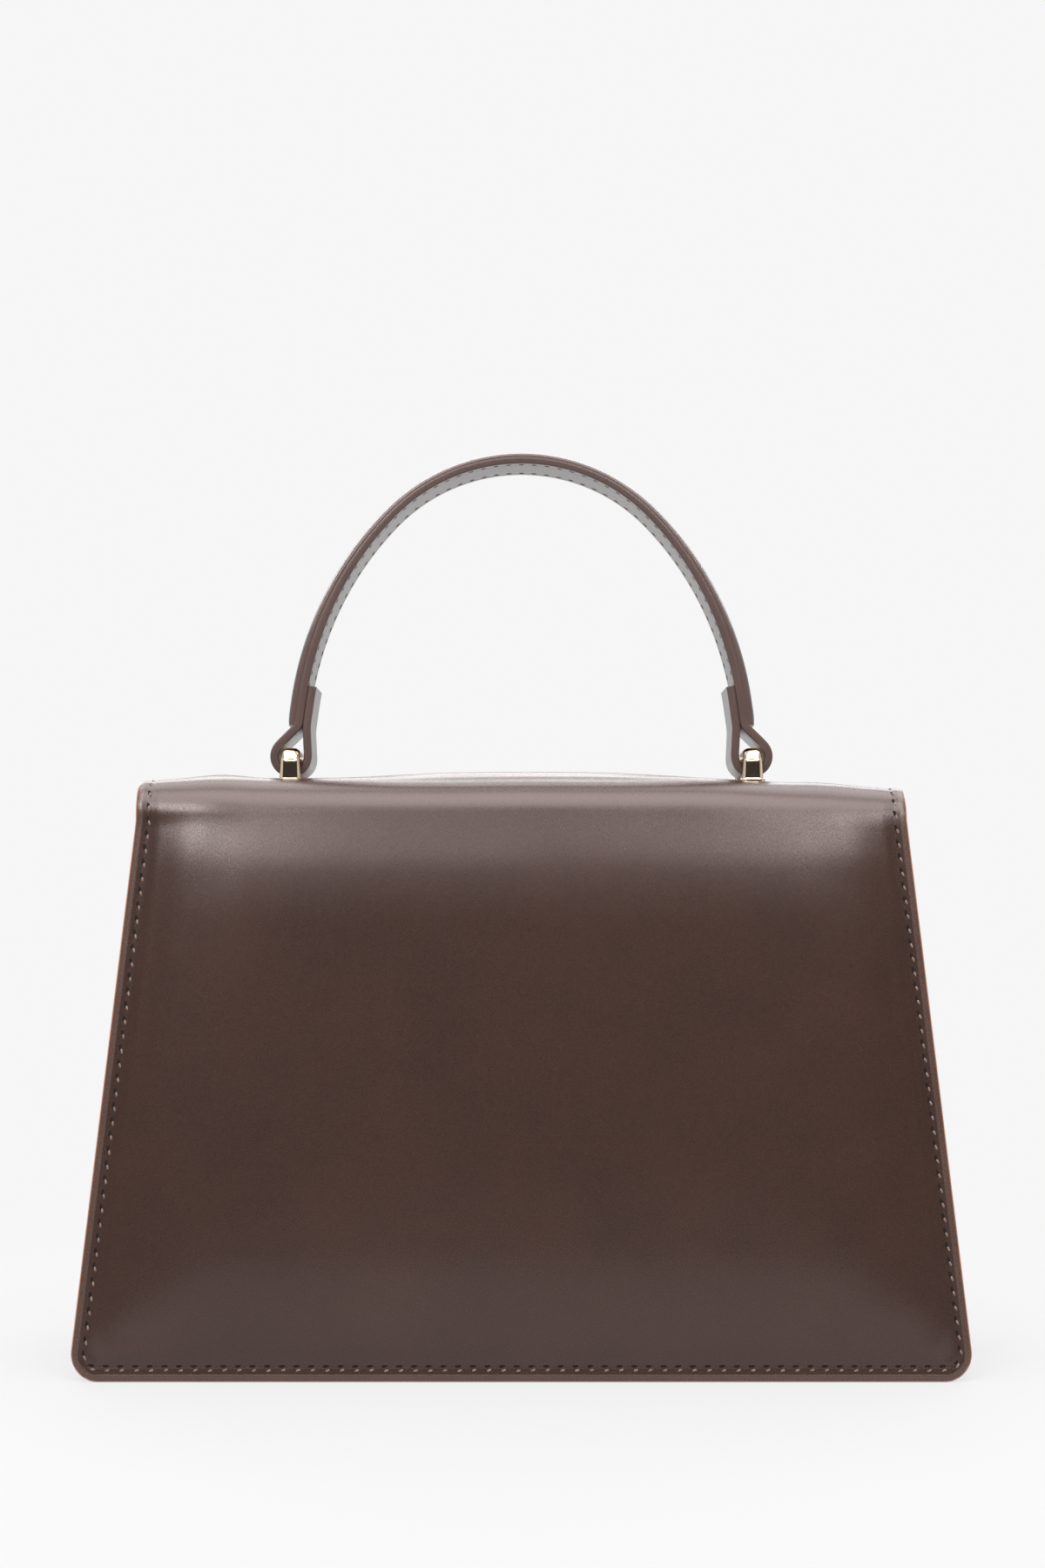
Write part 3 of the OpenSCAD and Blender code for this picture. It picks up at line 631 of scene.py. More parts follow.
# Flat linings, each a closed slab that lies between two depths of a panel
def slab(name, cut, material, edge):
    out, bottom, radius, facing = cut["out"], cut["bottom"], cut["radius"], cut["facing"]
    inset, rows = cut["inset"], cut["rows"]
    steps = [0, 0.12, 0.35, 0.7, 1.3, 2.1, 2.9, 3.3, 3.8, 4.6, 6.5]
    middle = spread(-1, 1, 2 / cut["across"])[1:-1]
    count = 2 * len(steps) + len(middle)

    def spot(i, j, inner=False):
        v = rows[j]
        y, z, ny, nz = skinSpot(v, out)
        high = max(z, bottom + inset)
        half = halfWide(high, bottom + inset, max(radius - inset, 1.2)) - inset / math.cos(taper)
        x = columnAt(i, half, steps, middle)
        lift = cut["outer"]
        if inner:
            rim = min((half - abs(x)) * math.cos(taper), v - rows[0])
            rounding = cut["round"] * (1 - math.sqrt(max(1 - (1 - min(rim / cut["round"], 1)) ** 2, 0)))
            lift = cut["inner"] + (rounding + cut["groove"] * hump(rim - 3.3, 0.5))
        return -facing * x, facing * -(y + ny * lift), z + nz * lift

    piece = shapedGrid(name, count - 1, len(rows) - 1, spot)
    size = len(piece.data.vertices)
    piece.data.materials.append(material)
    piece.data.materials.append(edge)
    applyModifier(piece, "SOLIDIFY", thickness=0.5 * mm, offset=-1, material_offset_rim=1)
    for k in range(size):
        piece.data.vertices[size + k].co = Vector(spot(k % count, k // count, True)) * mm
    smoothFaces(piece, 45)
    return piece


inside = 6.3
flapFoot = (bag["flapFoot"] - bag["flapOut"] * sinLean) / cosLean
flapRows = [flapFoot + r for r in footRows(bag["flapR"])]
flapRows += spread(flapRows[-1], turnStart(bag["flapOut"]) - 0.02, 4.5)[1:]
flapLining = slab("flapLining", {
    "out": bag["flapOut"], "bottom": bag["flapFoot"], "radius": bag["flapR"], "facing": 1, "inset": 0,
    "rows": flapRows, "across": 34, "outer": -1.32, "inner": -3.0, "round": 0.45, "groove": 0.12,
}, liningCalf, edgePaint)
plainLining = {"out": 0, "bottom": 0, "radius": bag["cornerR"], "inset": inside, "across": 30,
               "outer": -2.52, "inner": -3.1, "round": 0.2, "groove": 0}
plainRows = [inside / cosLean + r for r in (0, 0.15, 0.4, 0.8, 1.4, 2.2, 3.0, 3.8, 5, 7)]
backRows = plainRows + spread(plainRows[-1], turnStart(0) - 0.05, 5)[1:]
frontRows = plainRows + spread(plainRows[-1], bag["mouthHigh"] / cosLean - 0.2, 5)[1:]
backLining = slab("backLining", dict(plainLining, facing=-1, rows=backRows), suede, suede)
frontLining = slab("frontLining", dict(plainLining, facing=1, rows=frontRows), suede, suede)
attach(flapLining, "flap")
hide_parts("flap_lining")
for piece, node in ((backLining, "back_lining"), (frontLining, "front_lining")):
    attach(piece, "root")
    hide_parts(node)


# The lining of the side walls and the base
def wallLining():
    stations = outlineWalk(142.6, 5)
    steps = 10

    def place(i, j):
        x, z = insetPoint(stations[j], 6.5)
        z = max(z, 6.5 + 2.1)
        y = backY(z, 3.25)
        return x, y - 2 * y * i / steps, z

    piece = shapedGrid("wallLining", steps, len(stations) - 1, place)
    return finishSheet(piece, (suede,), 0.6)


gussetLining = wallLining()
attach(gussetLining, "root")
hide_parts("gusset_lining")


# The linings of the two turn-overs
def turnLining(name, out, facing):
    rows = spread(turnStart(out), turnStart(out) + turnLong, 0.8)
    columns = spread(-104.8, 104.8, 5)

    def place(i, j):
        y, z, ny, nz = skinSpot(rows[j], out)
        lift = -bag["skin"] - 0.52 + 0.05 * math.sin(columns[i] / 9) * math.sin(rows[j] / 2)
        return -facing * columns[i], facing * -(y + ny * lift), z + nz * lift

    piece = shapedGrid(name, len(columns) - 1, len(rows) - 1, place)
    piece.data.materials.append(liningCalf)
    piece.data.materials.append(edgePaint)
    applyModifier(piece, "SOLIDIFY", thickness=1.0 * mm, offset=0, material_offset_rim=1)
    smoothFaces(piece, 50)
    return piece


backTurnLining = turnLining("backTurnLining", 0, -1)
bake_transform(backTurnLining)
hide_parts("back_fold_lining")
frontTurnLining = turnLining("frontTurnLining", bag["flapOut"], 1)
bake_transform(frontTurnLining)
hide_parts("front_fold_lining")


# The lining under the top wraps its board
def topLiningPiece():
    half, low, high, edge = 105, 156.7, 158.85, 0.7
    y0, y1 = turnCentre(0) + 0.05, -turnCentre(bag["flapOut"]) - 0.05
    section = [(-half + edge * (1 - math.cos(a)), low + edge - edge * math.sin(a))
               for a in spread(0, math.pi / 2, math.radians(15))]
    section += [(x, low) for x in spread(-half + edge + 3, half - edge - 3, 6)]
    section += [(-x, z) for x, z in reversed(section[:7])]
    section = [(-half, high)] + section + [(half, high)]
    rows = spread(y0, y1, 3.5)

    def place(i, j):
        x, z = section[i]
        slack = 0.10 * math.sin(x / 21) * math.sin((rows[j] - y0) / 12)
        return x, rows[j], z + (slack if abs(z - low) < 0.01 else 0)

    piece = shapedGrid("topLining", len(section) - 1, len(rows) - 1, place)
    piece.data.materials.append(suede)
    closeEnds(piece)
    smoothFaces(piece, 40)
    return piece


topLining = topLiningPiece()
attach(topLining, "top")
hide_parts("top_lining")


# A folded strip over the front panel's upper edge
def bindingPiece():
    top = bag["mouthHigh"] / cosLean
    section = [(-0.45, top - 4.3 + s) for s in (0, 0.6, 1.3, 2.2, 3.2, 4.3)]
    section += [(1.55 - 2.0 * math.cos(a), top + 0.45 * math.sin(a))
                for a in spread(0, math.pi, math.radians(15))[1:-1]]
    section += [(3.55, top - s) for s in (0, 1.0, 2.1, 3.2, 4.3)]
    steps = spread(-1, 1, 2 / 60)

    def place(i, j):
        depth, v = section[j]
        inner = smooth((depth - 1.2) / 1.6)
        half = sideAt(v * cosLean) - 0.1 - 6.4 * inner
        y = -bag["deep"] / 2 + depth * cosLean + v * sinLean
        z = v * cosLean - depth * sinLean
        return -half * steps[i], -y, z

    piece = shapedGrid("mouthBinding", len(steps) - 1, len(section) - 1, place)
    return finishSheet(piece, (liningCalf, edgePaint), 0.9)


mouthBinding = bindingPiece()
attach(mouthBinding, "root")
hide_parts("front_binding")


# A flat pocket on the back lining, a little slack at its mouth
def pocketPiece():
    pocket = {"half": 65, "low": 55, "high": 125, "hem": 4}
    xs = spread(-pocket["half"], pocket["half"], 3.25)
    vs = spread(pocket["low"], pocket["high"], 2.5)

    def place(i, j):
        x, v = xs[i], vs[j]
        side = min(pocket["half"] - abs(x), v - pocket["low"])
        slack = smooth((side - pocket["hem"]) / 12)
        mouth = smooth((v - pocket["low"]) / 70)
        depth = 3.42 + slack * (0.45 + 0.5 * mouth) + 0.12 * slack * math.sin(x / 11) * mouth
        y = -bag["deep"] / 2 + depth * cosLean + v * sinLean
        return x, y, v * cosLean - depth * sinLean

    piece = shapedGrid("slipPocket", len(xs) - 1, len(vs) - 1, place)
    return finishSheet(piece, (suede,), 0.6, 0.2)


slipPocket = pocketPiece()
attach(slipPocket, "root")
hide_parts("slip_pocket")
print("linings made")

# The handle
grip = {"high": 254.3, "half": 64.4, "legHigh": 184.8, "tilt": 8.0, "leg": 6.9, "wide": 18.0, "crown": 1.2,
        "cover": 1.4, "coverTop": 1.0, "strap": 2.3, "strapTop": 1.8, "loopR": 3.6, "loopX": 64.9,
        "loopZ": 168.95, "tab": 12.0, "seam": 2.6, "pitch": 3.62}
tilt = math.radians(grip["tilt"])
bend45 = math.pi / 4
archWide = grip["half"]
archHigh = grip["high"] - grip["legHigh"]
crownShare = math.cos(tilt) - math.sin(bend45)
sideShare = math.cos(bend45) - math.sin(tilt)
sideR = ((archWide * (1 - math.cos(bend45)) - archHigh * math.sin(bend45))
         / (crownShare * (1 - math.cos(bend45)) - sideShare * math.sin(bend45)))
crownR = (archWide - sideR * crownShare) / math.sin(bend45)
crownZ = grip["high"] - crownR
sideX = (crownR - sideR) * math.sin(bend45)
sideZ = crownZ + (crownR - sideR) * math.cos(bend45)


# Right half of the handle's edge line, from the crown down: point, outward direction and length so far
def gripLine(step):
    line = []
    for a in spread(math.pi / 2, bend45, -step / crownR)[:-1]:
        line.append((crownR * math.cos(a), crownZ + crownR * math.sin(a), math.cos(a), math.sin(a)))
    for a in spread(bend45, tilt, -step / sideR):
        line.append((sideX + sideR * math.cos(a), sideZ + sideR * math.sin(a), math.cos(a), math.sin(a)))
    x, z = line[-1][:2]
    for s in spread(0, grip["leg"], step)[1:]:
        line.append((x + s * math.sin(tilt), z - s * math.cos(tilt), math.cos(tilt), math.sin(tilt)))
    return line


def bothHalves(half):
    return [(-x, z, -nx, nz) for x, z, nx, nz in reversed(half[1:])] + half


# How far down from the crown a place is, 0 at the crown and 1 at the straight legs
def downShare(z):
    return smooth((grip["high"] - z) / archHigh)


def coverThick(z):
    return grip["coverTop"] + (grip["cover"] - grip["coverTop"]) * downShare(z)


def strapThick(z):
    return grip["strapTop"] + (grip["strap"] - grip["strapTop"]) * downShare(z)


# A closed tube of leather swept along stations, with flat ends
def sweptTube(name, stations, section):
    count = len(section(stations[0]))

    def place(i, j):
        x, z, nx, nz = stations[j]
        up, across = section(stations[j])[i % count]
        return x + nx * up, topMid + across, z + nz * up

    piece = shapedGrid(name, count, len(stations) - 1, place)
    closeEnds(piece)
    return piece


# The sides of a strap and their rounding carry the edge paint
def paintEdges(piece, first, second, rounding=0.5):
    piece.data.materials.append(first)
    piece.data.materials.append(second)
    for face in piece.data.polygons:
        inset = grip["wide"] / 2 - abs(face.center.y / mm - topMid)
        face.material_index = 1 if inset < rounding else 0


def coverSection(station):
    z = station[1]
    thick = coverThick(z)
    half = grip["wide"] / 2
    foot = smooth((z - 177.2) / 3.5)
    crown = grip["crown"] * (0.55 + 0.45 * foot)
    edge = 0.5
    side = [(-thick, half - 0.04), (-thick + 0.08, half)]
    side += [(-0.8 + 0.8 * math.sin(a), half - edge * (1 - math.cos(a)))
             for a in spread(0, math.pi / 2, math.radians(15))]
    points = [(up, -across) for up, across in side]
    for k in range(1, 18):
        t = -1 + 2 * k / 18
        dip = 0.12 * hump((1 - abs(t)) * half - grip["seam"], 0.5)
        points.append((crown * (1 - t * t) ** 0.8 - dip, t * (half - edge)))
    points += reversed(side)
    for k in range(1, 6):
        points.append((-thick, half - edge - 2 * (half - edge) * k / 6))
    return points


coverLine = bothHalves(gripLine(1.6))
handleCover = sweptTube("handleCover", coverLine, coverSection)
paintEdges(handleCover, coverCalf, smoothPaint)
smoothFaces(handleCover, 50)
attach(handleCover, "handle")
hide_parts("handle_cover", "handle_core")


# Middle line of the strap: along under the cover, down round the loop and up the sewn tab
def strapLine():
    half = gripLine(1.6)
    line = []
    for x, z, nx, nz in half:
        depth = coverThick(z) + strapThick(z) / 2
        line.append((x - depth * nx, z - depth * nz))
    foot = half[-1]
    middle = grip["loopR"] + grip["strap"] / 2
    px, pz = line[-1][0] - grip["loopX"], line[-1][1] - grip["loopZ"]
    start = math.atan2(pz, px) - math.acos(middle / math.hypot(px, pz))
    for a in spread(start, -math.pi, -math.radians(7.5)):
        line.append((grip["loopX"] + middle * math.cos(a), grip["loopZ"] + middle * math.sin(a)))
    depth = grip["cover"] + 1.5 * grip["strap"]
    end = (foot[0] - depth * foot[2], foot[1] - depth * foot[3])
    last = line[-1]
    for t in spread(0, 1, 0.2)[1:]:
        line.append((last[0] + (end[0] - last[0]) * t, last[1] + (end[1] - last[1]) * t))
    up = [s for s in reversed(half) if s[1] > foot[1]]
    length = 0
    previous = foot
    for s in up:
        length += math.hypot(s[0] - previous[0], s[1] - previous[1])
        previous = s
        if length > grip["tab"]:
            break
        line.append((s[0] - depth * s[2], s[1] - depth * s[3]))
    return line


def resample(line, step, rounds):
    lengths = [0]
    for a, b in zip(line, line[1:]):
        lengths.append(lengths[-1] + math.dist(a, b))
    count = max(2, round(lengths[-1] / step))
    points, k = [], 0
    for n in range(count + 1):
        s = lengths[-1] * n / count
        while k < len(line) - 2 and lengths[k + 1] < s:
            k += 1
        t = (s - lengths[k]) / max(lengths[k + 1] - lengths[k], 1e-9)
        points.append([a + (b - a) * min(max(t, 0), 1) for a, b in zip(line[k], line[k + 1])])
    for _ in range(rounds):
        points = [points[0]] + [
            [(a + 2 * b + c) / 4 for a, b, c in zip(points[n - 1], points[n], points[n + 1])]
            for n in range(1, len(points) - 1)] + [points[-1]]
    return points


def withNormals(points):
    stations = []
    for n, (x, z) in enumerate(points):
        ax, az = points[max(n - 1, 0)]
        bx, bz = points[min(n + 1, len(points) - 1)]
        length = math.hypot(bx - ax, bz - az)
        stations.append((x, z, -(bz - az) / length, (bx - ax) / length))
    return stations


rightStrap = resample(strapLine(), 0.62, 3)
wholeStrap = [[-x, z] for x, z in reversed(rightStrap[1:])] + rightStrap


def strapSection(station):
    z = station[1]
    thick = strapThick(z) if z > 176 else grip["strap"]
    half = grip["wide"] / 2
    top = thick / 2
    side = [(top, half - 0.12), (top - 0.03, half - 0.03), (top - 0.12, half)]
    side += [(-top + 1.1 - 1.1 * math.sin(a), half - 0.5 * (1 - math.cos(a)))
             for a in spread(0, math.pi / 2, math.radians(15))]
    points = [(up, -across) for up, across in reversed(side)]
    points += [(top, -half + 0.5 + 2 * (half - 0.5) * k / 14) for k in range(1, 14)]
    points += side
    for k in range(1, 14):
        y = half - 0.5 - 2 * (half - 0.5) * k / 14
        dip = 0.12 * hump(half - abs(y) - grip["seam"], 0.6)
        points.append((-top + dip, y))
    return points


handleStrap = sweptTube("handleStrap", withNormals(wholeStrap), strapSection)
paintEdges(handleStrap, strapCalf, smoothPaint)
smoothFaces(handleStrap, 50)
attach(handleStrap, "handle")
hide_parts("handle_strap")
print("handle made", len(handleStrap.data.polygons))

# The two arches, each a flat-oval bar bent twice
arch = {
    "wide": 6.0, "topWide": 5.3, "thick": 3.0, "ends": 2.1, "barHigh": 7.8, "bend": 1.6, "legY": 11.25,
    "foot": 162.0, "lip": 0.5,
    # height over the top and growth of the foot's lip, from the leather up
    "lipSteps": [(-0.2, 0), (0.25, 0), (0.5, -0.12), (0.62, -0.3), (0.7, -0.55)],
}


def archLine():
    middle = arch["bend"] + arch["thick"] / 2
    top = arch["foot"] + arch["barHigh"]
    low = top - middle
    inner = arch["legY"] - middle
    half = [(y, top, 0, 1) for y in spread(0, inner, 1.4)]
    for a in spread(math.pi / 2, 0, -math.radians(7.5))[1:]:
        half.append((inner + middle * math.cos(a), low + middle * math.sin(a), math.cos(a), math.sin(a)))
    for z in spread(low, arch["foot"] - 0.3, 0.9)[1:]:
        half.append((arch["legY"], z, 1, 0))
    return bothHalves(half)


def ovalSection(wide, thick, steps=14):
    points = []
    for side in (-1, 1):
        for a in spread(-math.pi / 2, math.pi / 2, math.pi / steps):
            across = wide / 2 - arch["ends"] + arch["ends"] * math.cos(a)
            points.append((-side * thick / 2 * math.sin(a), side * across))
    return points


def archPiece(name, x0):
    stations = archLine()
    section = ovalSection(arch["wide"], arch["thick"])
    outline = ovalSection(arch["wide"] + 2 * arch["lip"], arch["thick"] + 2 * arch["lip"])
    count = len(section)

    def barPlace(i, j):
        y, z, ny, nz = stations[j]
        up, across = section[i % count]
        across *= 1 + (arch["topWide"] / arch["wide"] - 1) * smooth((z - arch["foot"]) / arch["barHigh"])
        return x0 + across, topMid + y + ny * up, z + nz * up

    def finished(part):
        part.data.materials.append(gold)
        closeEnds(part)
        smoothFaces(part, 50)
        return part

    def archFoot(side):
        def footPlace(i, j):
            up, across = outline[i % count]
            high, shrink = arch["lipSteps"][j]
            grow = 1 + shrink / 3.2
            return x0 + across * grow, topMid + side * arch["legY"] + up * grow, arch["foot"] + high

        return finished(shapedGrid("foot", count, len(arch["lipSteps"]) - 1, footPlace))

    piece = finished(shapedGrid(name, count, len(stations) - 1, barPlace))
    feet = [archFoot(side) for side in (-1, 1)]
    pick(piece)
    for foot in feet:
        foot.select_set(True)
    bpy.ops.object.join()
    piece.name = name
    return piece


for name, x0, node in (
        ("archLeft", -grip["loopX"], "arch_left"), ("archRight", grip["loopX"], "arch_right")):
    piece = archPiece(name, x0)
    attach(piece, "top")
    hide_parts(node)
print("arches made")

# Stitches: one needle hole, a flat dark disc of painted shade, and one thread, modelled once and copied
# along each seam
sewing = {"pitch": 3.9, "thread": 0.58, "long": 1.7, "holeLong": 1.75, "holeHigh": 1.0}


def stitchTemplate(name, segments, rings, place, finish):
    bpy.ops.object.select_all(action="DESELECT")
    bpy.ops.mesh.primitive_uv_sphere_add(segments=segments, ring_count=rings, radius=1)
    piece = bpy.context.object
    piece.name = name
    for vertex in piece.data.vertices:
        vertex.co = Vector(place(*vertex.co)) * mm
    piece.data.materials.append(finish)
    pick(piece)
    bpy.ops.object.shade_smooth()
    return piece


def threadPlace(x, y, z):
    slim = sewing["thread"] / 2 * (1 if abs(z) < 0.6 else 0.9)
    return z * sewing["long"] / 2, y * slim, x * slim * 0.8 + 0.16 - 0.30 * z * z


def holePlace(x, y, z):
    return x * sewing["holeLong"] / 2, y * sewing["holeHigh"] / 2, z * 0.06


# A short thin dash that lies flat, for the underside of the handle
def dashTemplate():
    piece = stitchTemplate("dashTemplate", 8, 6, threadPlace, threadAndGlint)
    for vertex in piece.data.vertices:
        x, y, z = vertex.co
        vertex.co = Vector((x * 1.25, y * 0.66, (z - 0.16 * mm) * 0.5 + 0.06 * mm))
    return piece


threadShape = stitchTemplate("threadTemplate", 8, 6, threadPlace, threadAndGlint)
dashShape = dashTemplate()
holeShape = stitchTemplate("holeTemplate", 10, 4, holePlace, holeShade)


# Copies a template to spots, each a point, a direction along the seam and an outward direction
def copyTo(template, spots, made):
    for point, along, out in spots:
        side = out.cross(along).normalized()
        along = side.cross(out).normalized()
        turn = Matrix((along, side, out)).transposed().to_4x4()
        mesh = template.data.copy()
        mesh.transform(Matrix.Translation(point * mm) @ turn)
        copy = bpy.data.objects.new(template.name + "Copy", mesh)
        bpy.context.collection.objects.link(copy)
        made.append(copy)


def joinAll(name, made):
    pick(made[0])
    for piece in made:
        piece.select_set(True)
    bpy.ops.object.join()
    made[0].name = name
    return made[0]


# Spots at an even pitch along a polyline on a surface
def seamSpots(points, outs, pitch):
    lengths = [0]
    for a, b in zip(points, points[1:]):
        lengths.append(lengths[-1] + (b - a).length)
    count = round(lengths[-1] / pitch)
    spots, k = [], 0
    for n in range(count):
        s = lengths[-1] * (n + 0.5) / count
        while lengths[k + 1] < s:
            k += 1
        t = (s - lengths[k]) / (lengths[k + 1] - lengths[k])
        spots.append((points[k].lerp(points[k + 1], t), (points[k + 1] - points[k]).normalized(),
                      outs[k].lerp(outs[k + 1], t).normalized()))
    return spots


# Each stitch is a needle hole, drawn as a flat dark disc of painted shade, and its thread, a little askew.
# On the panels the thread, pale partly as a painted glint, lies just below its hole, by the drop, and with
# no drop, as on the handle, it lies between two holes
def sewSeam(spots, made, askew=0.30, drop=1.1):
    holes, threads = [], []
    for point, along, out in spots:
        side = out.cross(along).normalized()
        holes.append((point + out * 0.02 + side * 0.12, along + side * 0.15, out))
        sway = askew + chance.uniform(-0.06, 0.06)
        if drop:
            centre = point + Vector((-0.45 * out.y, 0, -drop + chance.uniform(-0.08, 0.08)))
            centre -= out * (centre - point).dot(out)
        else:
            centre = point + along * 1.9
        threads.append((centre - out * 0.02, along + side * sway, out))
    copyTo(holeShape, holes, made)
    copyTo(threadShape, threads, made)


# Seam line of a padded skin, down one side, round the foot and up the other, on its surface
def skinSeam(skin, top):
    out, bottom, radius, facing = skin["out"], skin["bottom"], skin["radius"], skin["facing"]
    foot = (bottom - out * sinLean) / cosLean + pad["footSeam"]
    corner = max(radius - 3.8, 3.2)
    cz = foot + corner
    cornerZ = cz * cosLean + out * sinLean
    cx = sideAt(cornerZ) - (pad["sideSeam"] + corner) / math.cos(taper)
    half = [(x, foot) for x in spread(0, cx, 1.5)]
    for a in spread(-math.pi / 2, taper, math.radians(10))[1:]:
        half.append((cx + corner * math.cos(a), cz + corner * math.sin(a)))
    for v in spread(half[-1][1], top, 0.8)[1:]:
        z = v * cosLean + out * sinLean if v < turnStart(out) else bag["foldHigh"]
        half.append((sideAt(z) - pad["sideSeam"] / math.cos(taper), v))
    line = [(-x, v) for x, v in reversed(half[1:])] + half
    points, outs = [], []
    for x, v in line:
        y, z, ny, nz = skinSpot(v, out)
        lift = -0.13 + wander(x * -facing, v, out, skin)
        points.append(Vector((-facing * x, facing * -(y + ny * lift), z + nz * lift)))
        outs.append(Vector((0, facing * -ny, nz)))
    return points, outs


def skinThread(name, skin, top, pitch):
    made = []
    points, outs = skinSeam(skin, top)
    sewSeam(seamSpots(points, outs, pitch), made)
    return joinAll(name, made)


backEnd = turnStart(0) + turnLong - turnCentre(0) + topMid
flapEnd = turnStart(bag["flapOut"]) + turnLong - turnCentre(bag["flapOut"]) - topMid
backThread = skinThread("backThread", skins["back"], backEnd - 0.5, sewing["pitch"])
flapThread = skinThread("flapThread", skins["flap"], flapEnd - 0.5, sewing["pitch"])
frontThread = skinThread("frontThread", skins["front"], bag["mouthHigh"] / cosLean - 6, sewing["pitch"])
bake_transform(backThread)
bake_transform(flapThread)
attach(frontThread, "root")


# Threads of the handle: two rows outside, two inside
def handleSeams():
    made = []
    half = grip["wide"] / 2 - grip["seam"]
    for side in (-1, 1):
        over = coverLine[3:-3]
        points = [Vector((x - nx * 0.06, topMid + side * half, z - nz * 0.06)) for x, z, nx, nz in over]
        outs = [Vector((nx, side * -0.12, nz)) for x, z, nx, nz in over]
        sewSeam(seamSpots(points, outs, grip["pitch"]), made, 0.05, None)
        under = [s for s in coverLine if s[1] > 187.5]
        points = []
        for x, z, nx, nz in under:
            depth = coverThick(z) + strapThick(z) - 0.08
            points.append(Vector((x - nx * depth, topMid + side * half, z - nz * depth)))
        outs = [Vector((-nx, 0, -nz)) for x, z, nx, nz in under]
        copyTo(dashShape, seamSpots(points, outs, grip["pitch"]), made)
    piece = joinAll("handleThread", made)
    for place in piece.material_slots:
        if place.material == threadAndGlint:
            place.material = darkThread
    return piece


handleThread = handleSeams()
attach(handleThread, "handle")
for template in (threadShape, dashShape, holeShape):
    bpy.data.objects.remove(template)
print("seams sewn", sum(len(p.data.polygons) for p in (backThread, flapThread, frontThread, handleThread)))

# Carried-over pieces keep their shape and get their finish
for node, finish in (
        ("back_board", boardFinish), ("front_board", boardFinish), ("base_board", boardFinish),
        ("top_board", boardFinish), ("flap_board", boardFinish), ("snap_socket", gold), ("snap_plug", gold),
        ("socket_washer", steel), ("plug_washer", steel), ("arch_plates", steel), ("arch_screws", steel)):
    for place in nodes[node].material_slots:
        place.material = finish

# Floor: pale, even out to the horizon, with the bag's own faint shadow near it
floor = {"colour": 0.43, "white": 0.922, "shadowShare": 0.27, "fadeFrom": 0.16, "fadeTo": 0.42}


# 1 where a ray is of one of the named kinds and 0 where it is not, as for the light itself
def seenRays(tree, names):
    path = newNode(tree, "LightPath", {})
    total = path.outputs[names[0]]
    for name in names[1:]:
        total = newNode(tree, "Math", {0: total, 1: path.outputs[name]}, operation="MAXIMUM").outputs[0]
    return total


bpy.ops.object.select_all(action="DESELECT")
bpy.ops.mesh.primitive_plane_add(size=60, location=(0, 0, 0))
floorPiece = bpy.context.object
floorPiece.name = "paleFloor"
floorMaterial, floorTree, floorShader, floorCoords = newMaterial("paleFloor")
setInputs(floorTree, floorShader, {
    "Base Color": grey(floor["colour"]), "Roughness": 0.8, "Specular IOR Level": 0.1})
away = newNode(floorTree, "VectorMath", {0: floorCoords.outputs["Object"]}, operation="LENGTH")
fade = newNode(floorTree, "MapRange", {
    "Value": away.outputs["Value"], "From Min": floor["fadeFrom"], "From Max": floor["fadeTo"],
    "To Min": 1 - floor["shadowShare"], "To Max": 1.0}, interpolation_type="SMOOTHSTEP")
seen = seenRays(floorTree, ("Is Camera Ray", "Is Glossy Ray", "Is Transmission Ray"))
share = newNode(floorTree, "Math", {0: seen, 1: fade.outputs["Result"]}, operation="MULTIPLY")
glow = newNode(floorTree, "Emission", {"Color": grey(floor["white"])})
mixed = newNode(floorTree, "MixShader", {
    0: share.outputs[0], 1: floorShader.outputs[0], 2: glow.outputs[0]})
floorTree.links.new(mixed.outputs[0], floorTree.nodes["Material Output"].inputs["Surface"])
floorPiece.data.materials.append(floorMaterial)
print("floor made")

# Studio: white backdrop for the camera, a room that is dim at eye level and lighter overhead
studio = {
    "white": 0.922, "dim": 0.04, "high": 0.9, "dimTo": 0.30, "highFrom": 0.85, "backdrop": 0.75,
    "backdropFrom": 0.75, "backdropTo": 0.95, "walls": 0.7, "wallsFrom": 0.80, "wallsTo": 0.90,
}


def addColours(tree, first, second):
    return newNode(tree, "Mix", {0: 1.0, 6: first, 7: second}, data_type="RGBA", blend_type="ADD").outputs[2]


world = bpy.data.worlds.new("studio")
bpy.context.scene.world = world
world.use_nodes = True
sky = world.node_tree
room = sky.nodes["Background"]
way = newNode(sky, "TexCoord", {})
parts = newNode(sky, "SeparateXYZ", {0: way.outputs["Generated"]})
dimTone, highTone = (studio["dim"],) * 3, (studio["high"],) * 3
tones = rampNode(sky, parts.outputs["Z"], [
    (0.0, dimTone), (studio["dimTo"], dimTone), (studio["highFrom"], highTone)])
behindBag = rangeNode(
    sky, parts.outputs["Y"], studio["backdropFrom"], studio["backdropTo"], 0.0, studio["backdrop"])
brighter = addColours(sky, tones.outputs["Color"], behindBag.outputs["Result"])
sideways = newNode(sky, "Math", {0: parts.outputs["X"]}, operation="ABSOLUTE")
walls = rangeNode(sky, sideways.outputs[0], studio["wallsFrom"], studio["wallsTo"], 0.0, studio["walls"])
sky.links.new(addColours(sky, brighter, walls.outputs["Result"]), room.inputs["Color"])
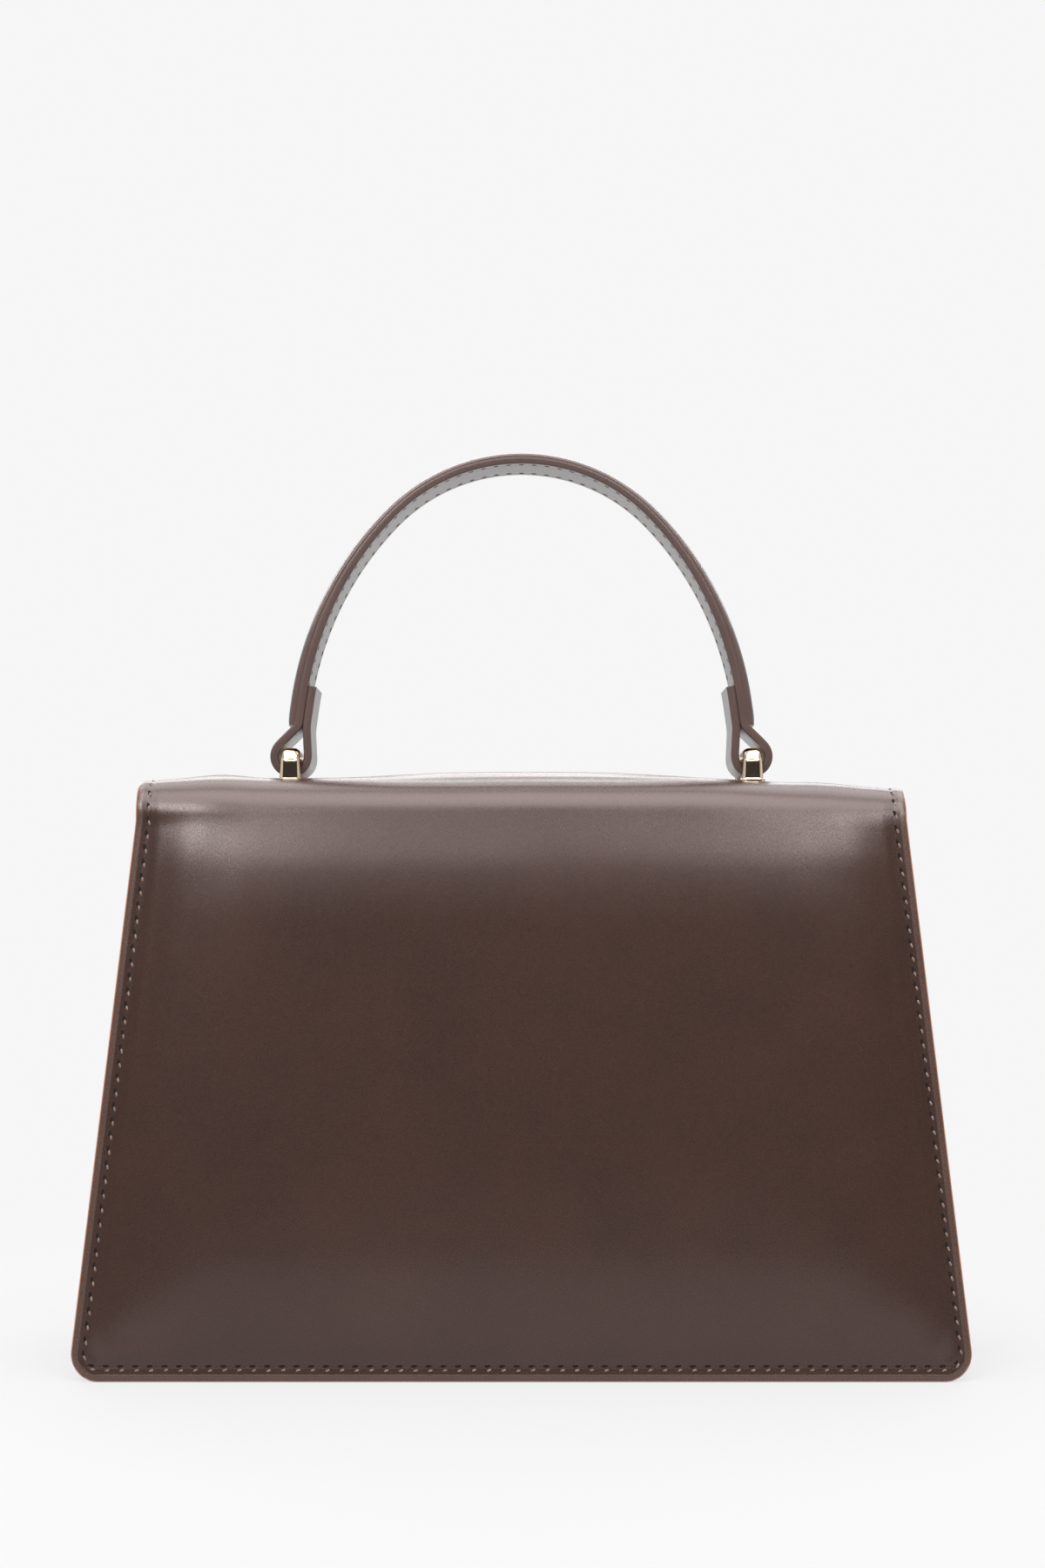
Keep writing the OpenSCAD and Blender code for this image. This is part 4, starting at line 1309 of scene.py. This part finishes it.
backdrop = newNode(sky, "Background", {"Color": grey(studio["white"])})
either = newNode(sky, "MixShader", {
    0: seenRays(sky, ("Is Camera Ray", "Is Transmission Ray")), 1: room.outputs[0], 2: backdrop.outputs[0]})
sky.links.new(either.outputs[0], sky.nodes["World Output"].inputs["Surface"])
print("studio made")

# Soft boxes: two overhead, one over the camera, two at each side of it and three behind the bag
lampAim = (0, 0, 0.12)
lamps = [
    {"name": "overhead", "place": (0.0, -0.50, 1.12), "aim": (0, -0.05, 0.1), "size": (1.5, 0.78),
     "power": 16},
    {"name": "overTop", "place": (0.0, 0.34, 1.12), "aim": (0, 0.0, 0.1), "size": (1.5, 0.70), "power": 9},
    {"name": "overCamera", "place": (-0.10, -1.65, 0.98), "size": (0.9, 0.30), "power": 2.2},
    {"name": "leftSide", "place": (-0.62, -1.25, 0.98), "size": (0.42, 0.40), "power": 7.5},
    {"name": "rightSide", "place": (0.52, -1.29, 0.98), "size": (0.38, 0.36), "power": 4.6},
    {"name": "leftEdge", "place": (-1.05, -0.95, 0.98), "aim": (-0.1, 0, 0.14), "size": (0.24, 0.24),
     "power": 3.4},
    {"name": "rightEdge", "place": (1.00, -0.99, 0.98), "aim": (0.1, 0, 0.14), "size": (0.24, 0.24),
     "power": 3.0},
    {"name": "behind", "place": (0.0, 1.25, 0.98), "size": (1.2, 0.40), "power": 6},
    {"name": "leftBack", "place": (-0.75, 1.20, 0.85), "size": (0.40, 0.40), "power": 3},
    {"name": "rightBack", "place": (0.80, 1.15, 0.85), "size": (0.40, 0.40), "power": 2.5},
]
for lamp in lamps:
    aim = Vector(lamp.get("aim", lampAim)) - Vector(lamp["place"])
    turn = aim.to_track_quat("-Z", "Y").to_euler()
    bpy.ops.object.light_add(type="AREA", location=lamp["place"], rotation=turn)
    light = bpy.context.object
    light.name = lamp["name"]
    light.data.shape = "RECTANGLE"
    light.data.size, light.data.size_y = lamp["size"]
    light.data.energy = lamp["power"]
print("lamps placed")

bpy.context.scene.view_settings.view_transform = "Standard"
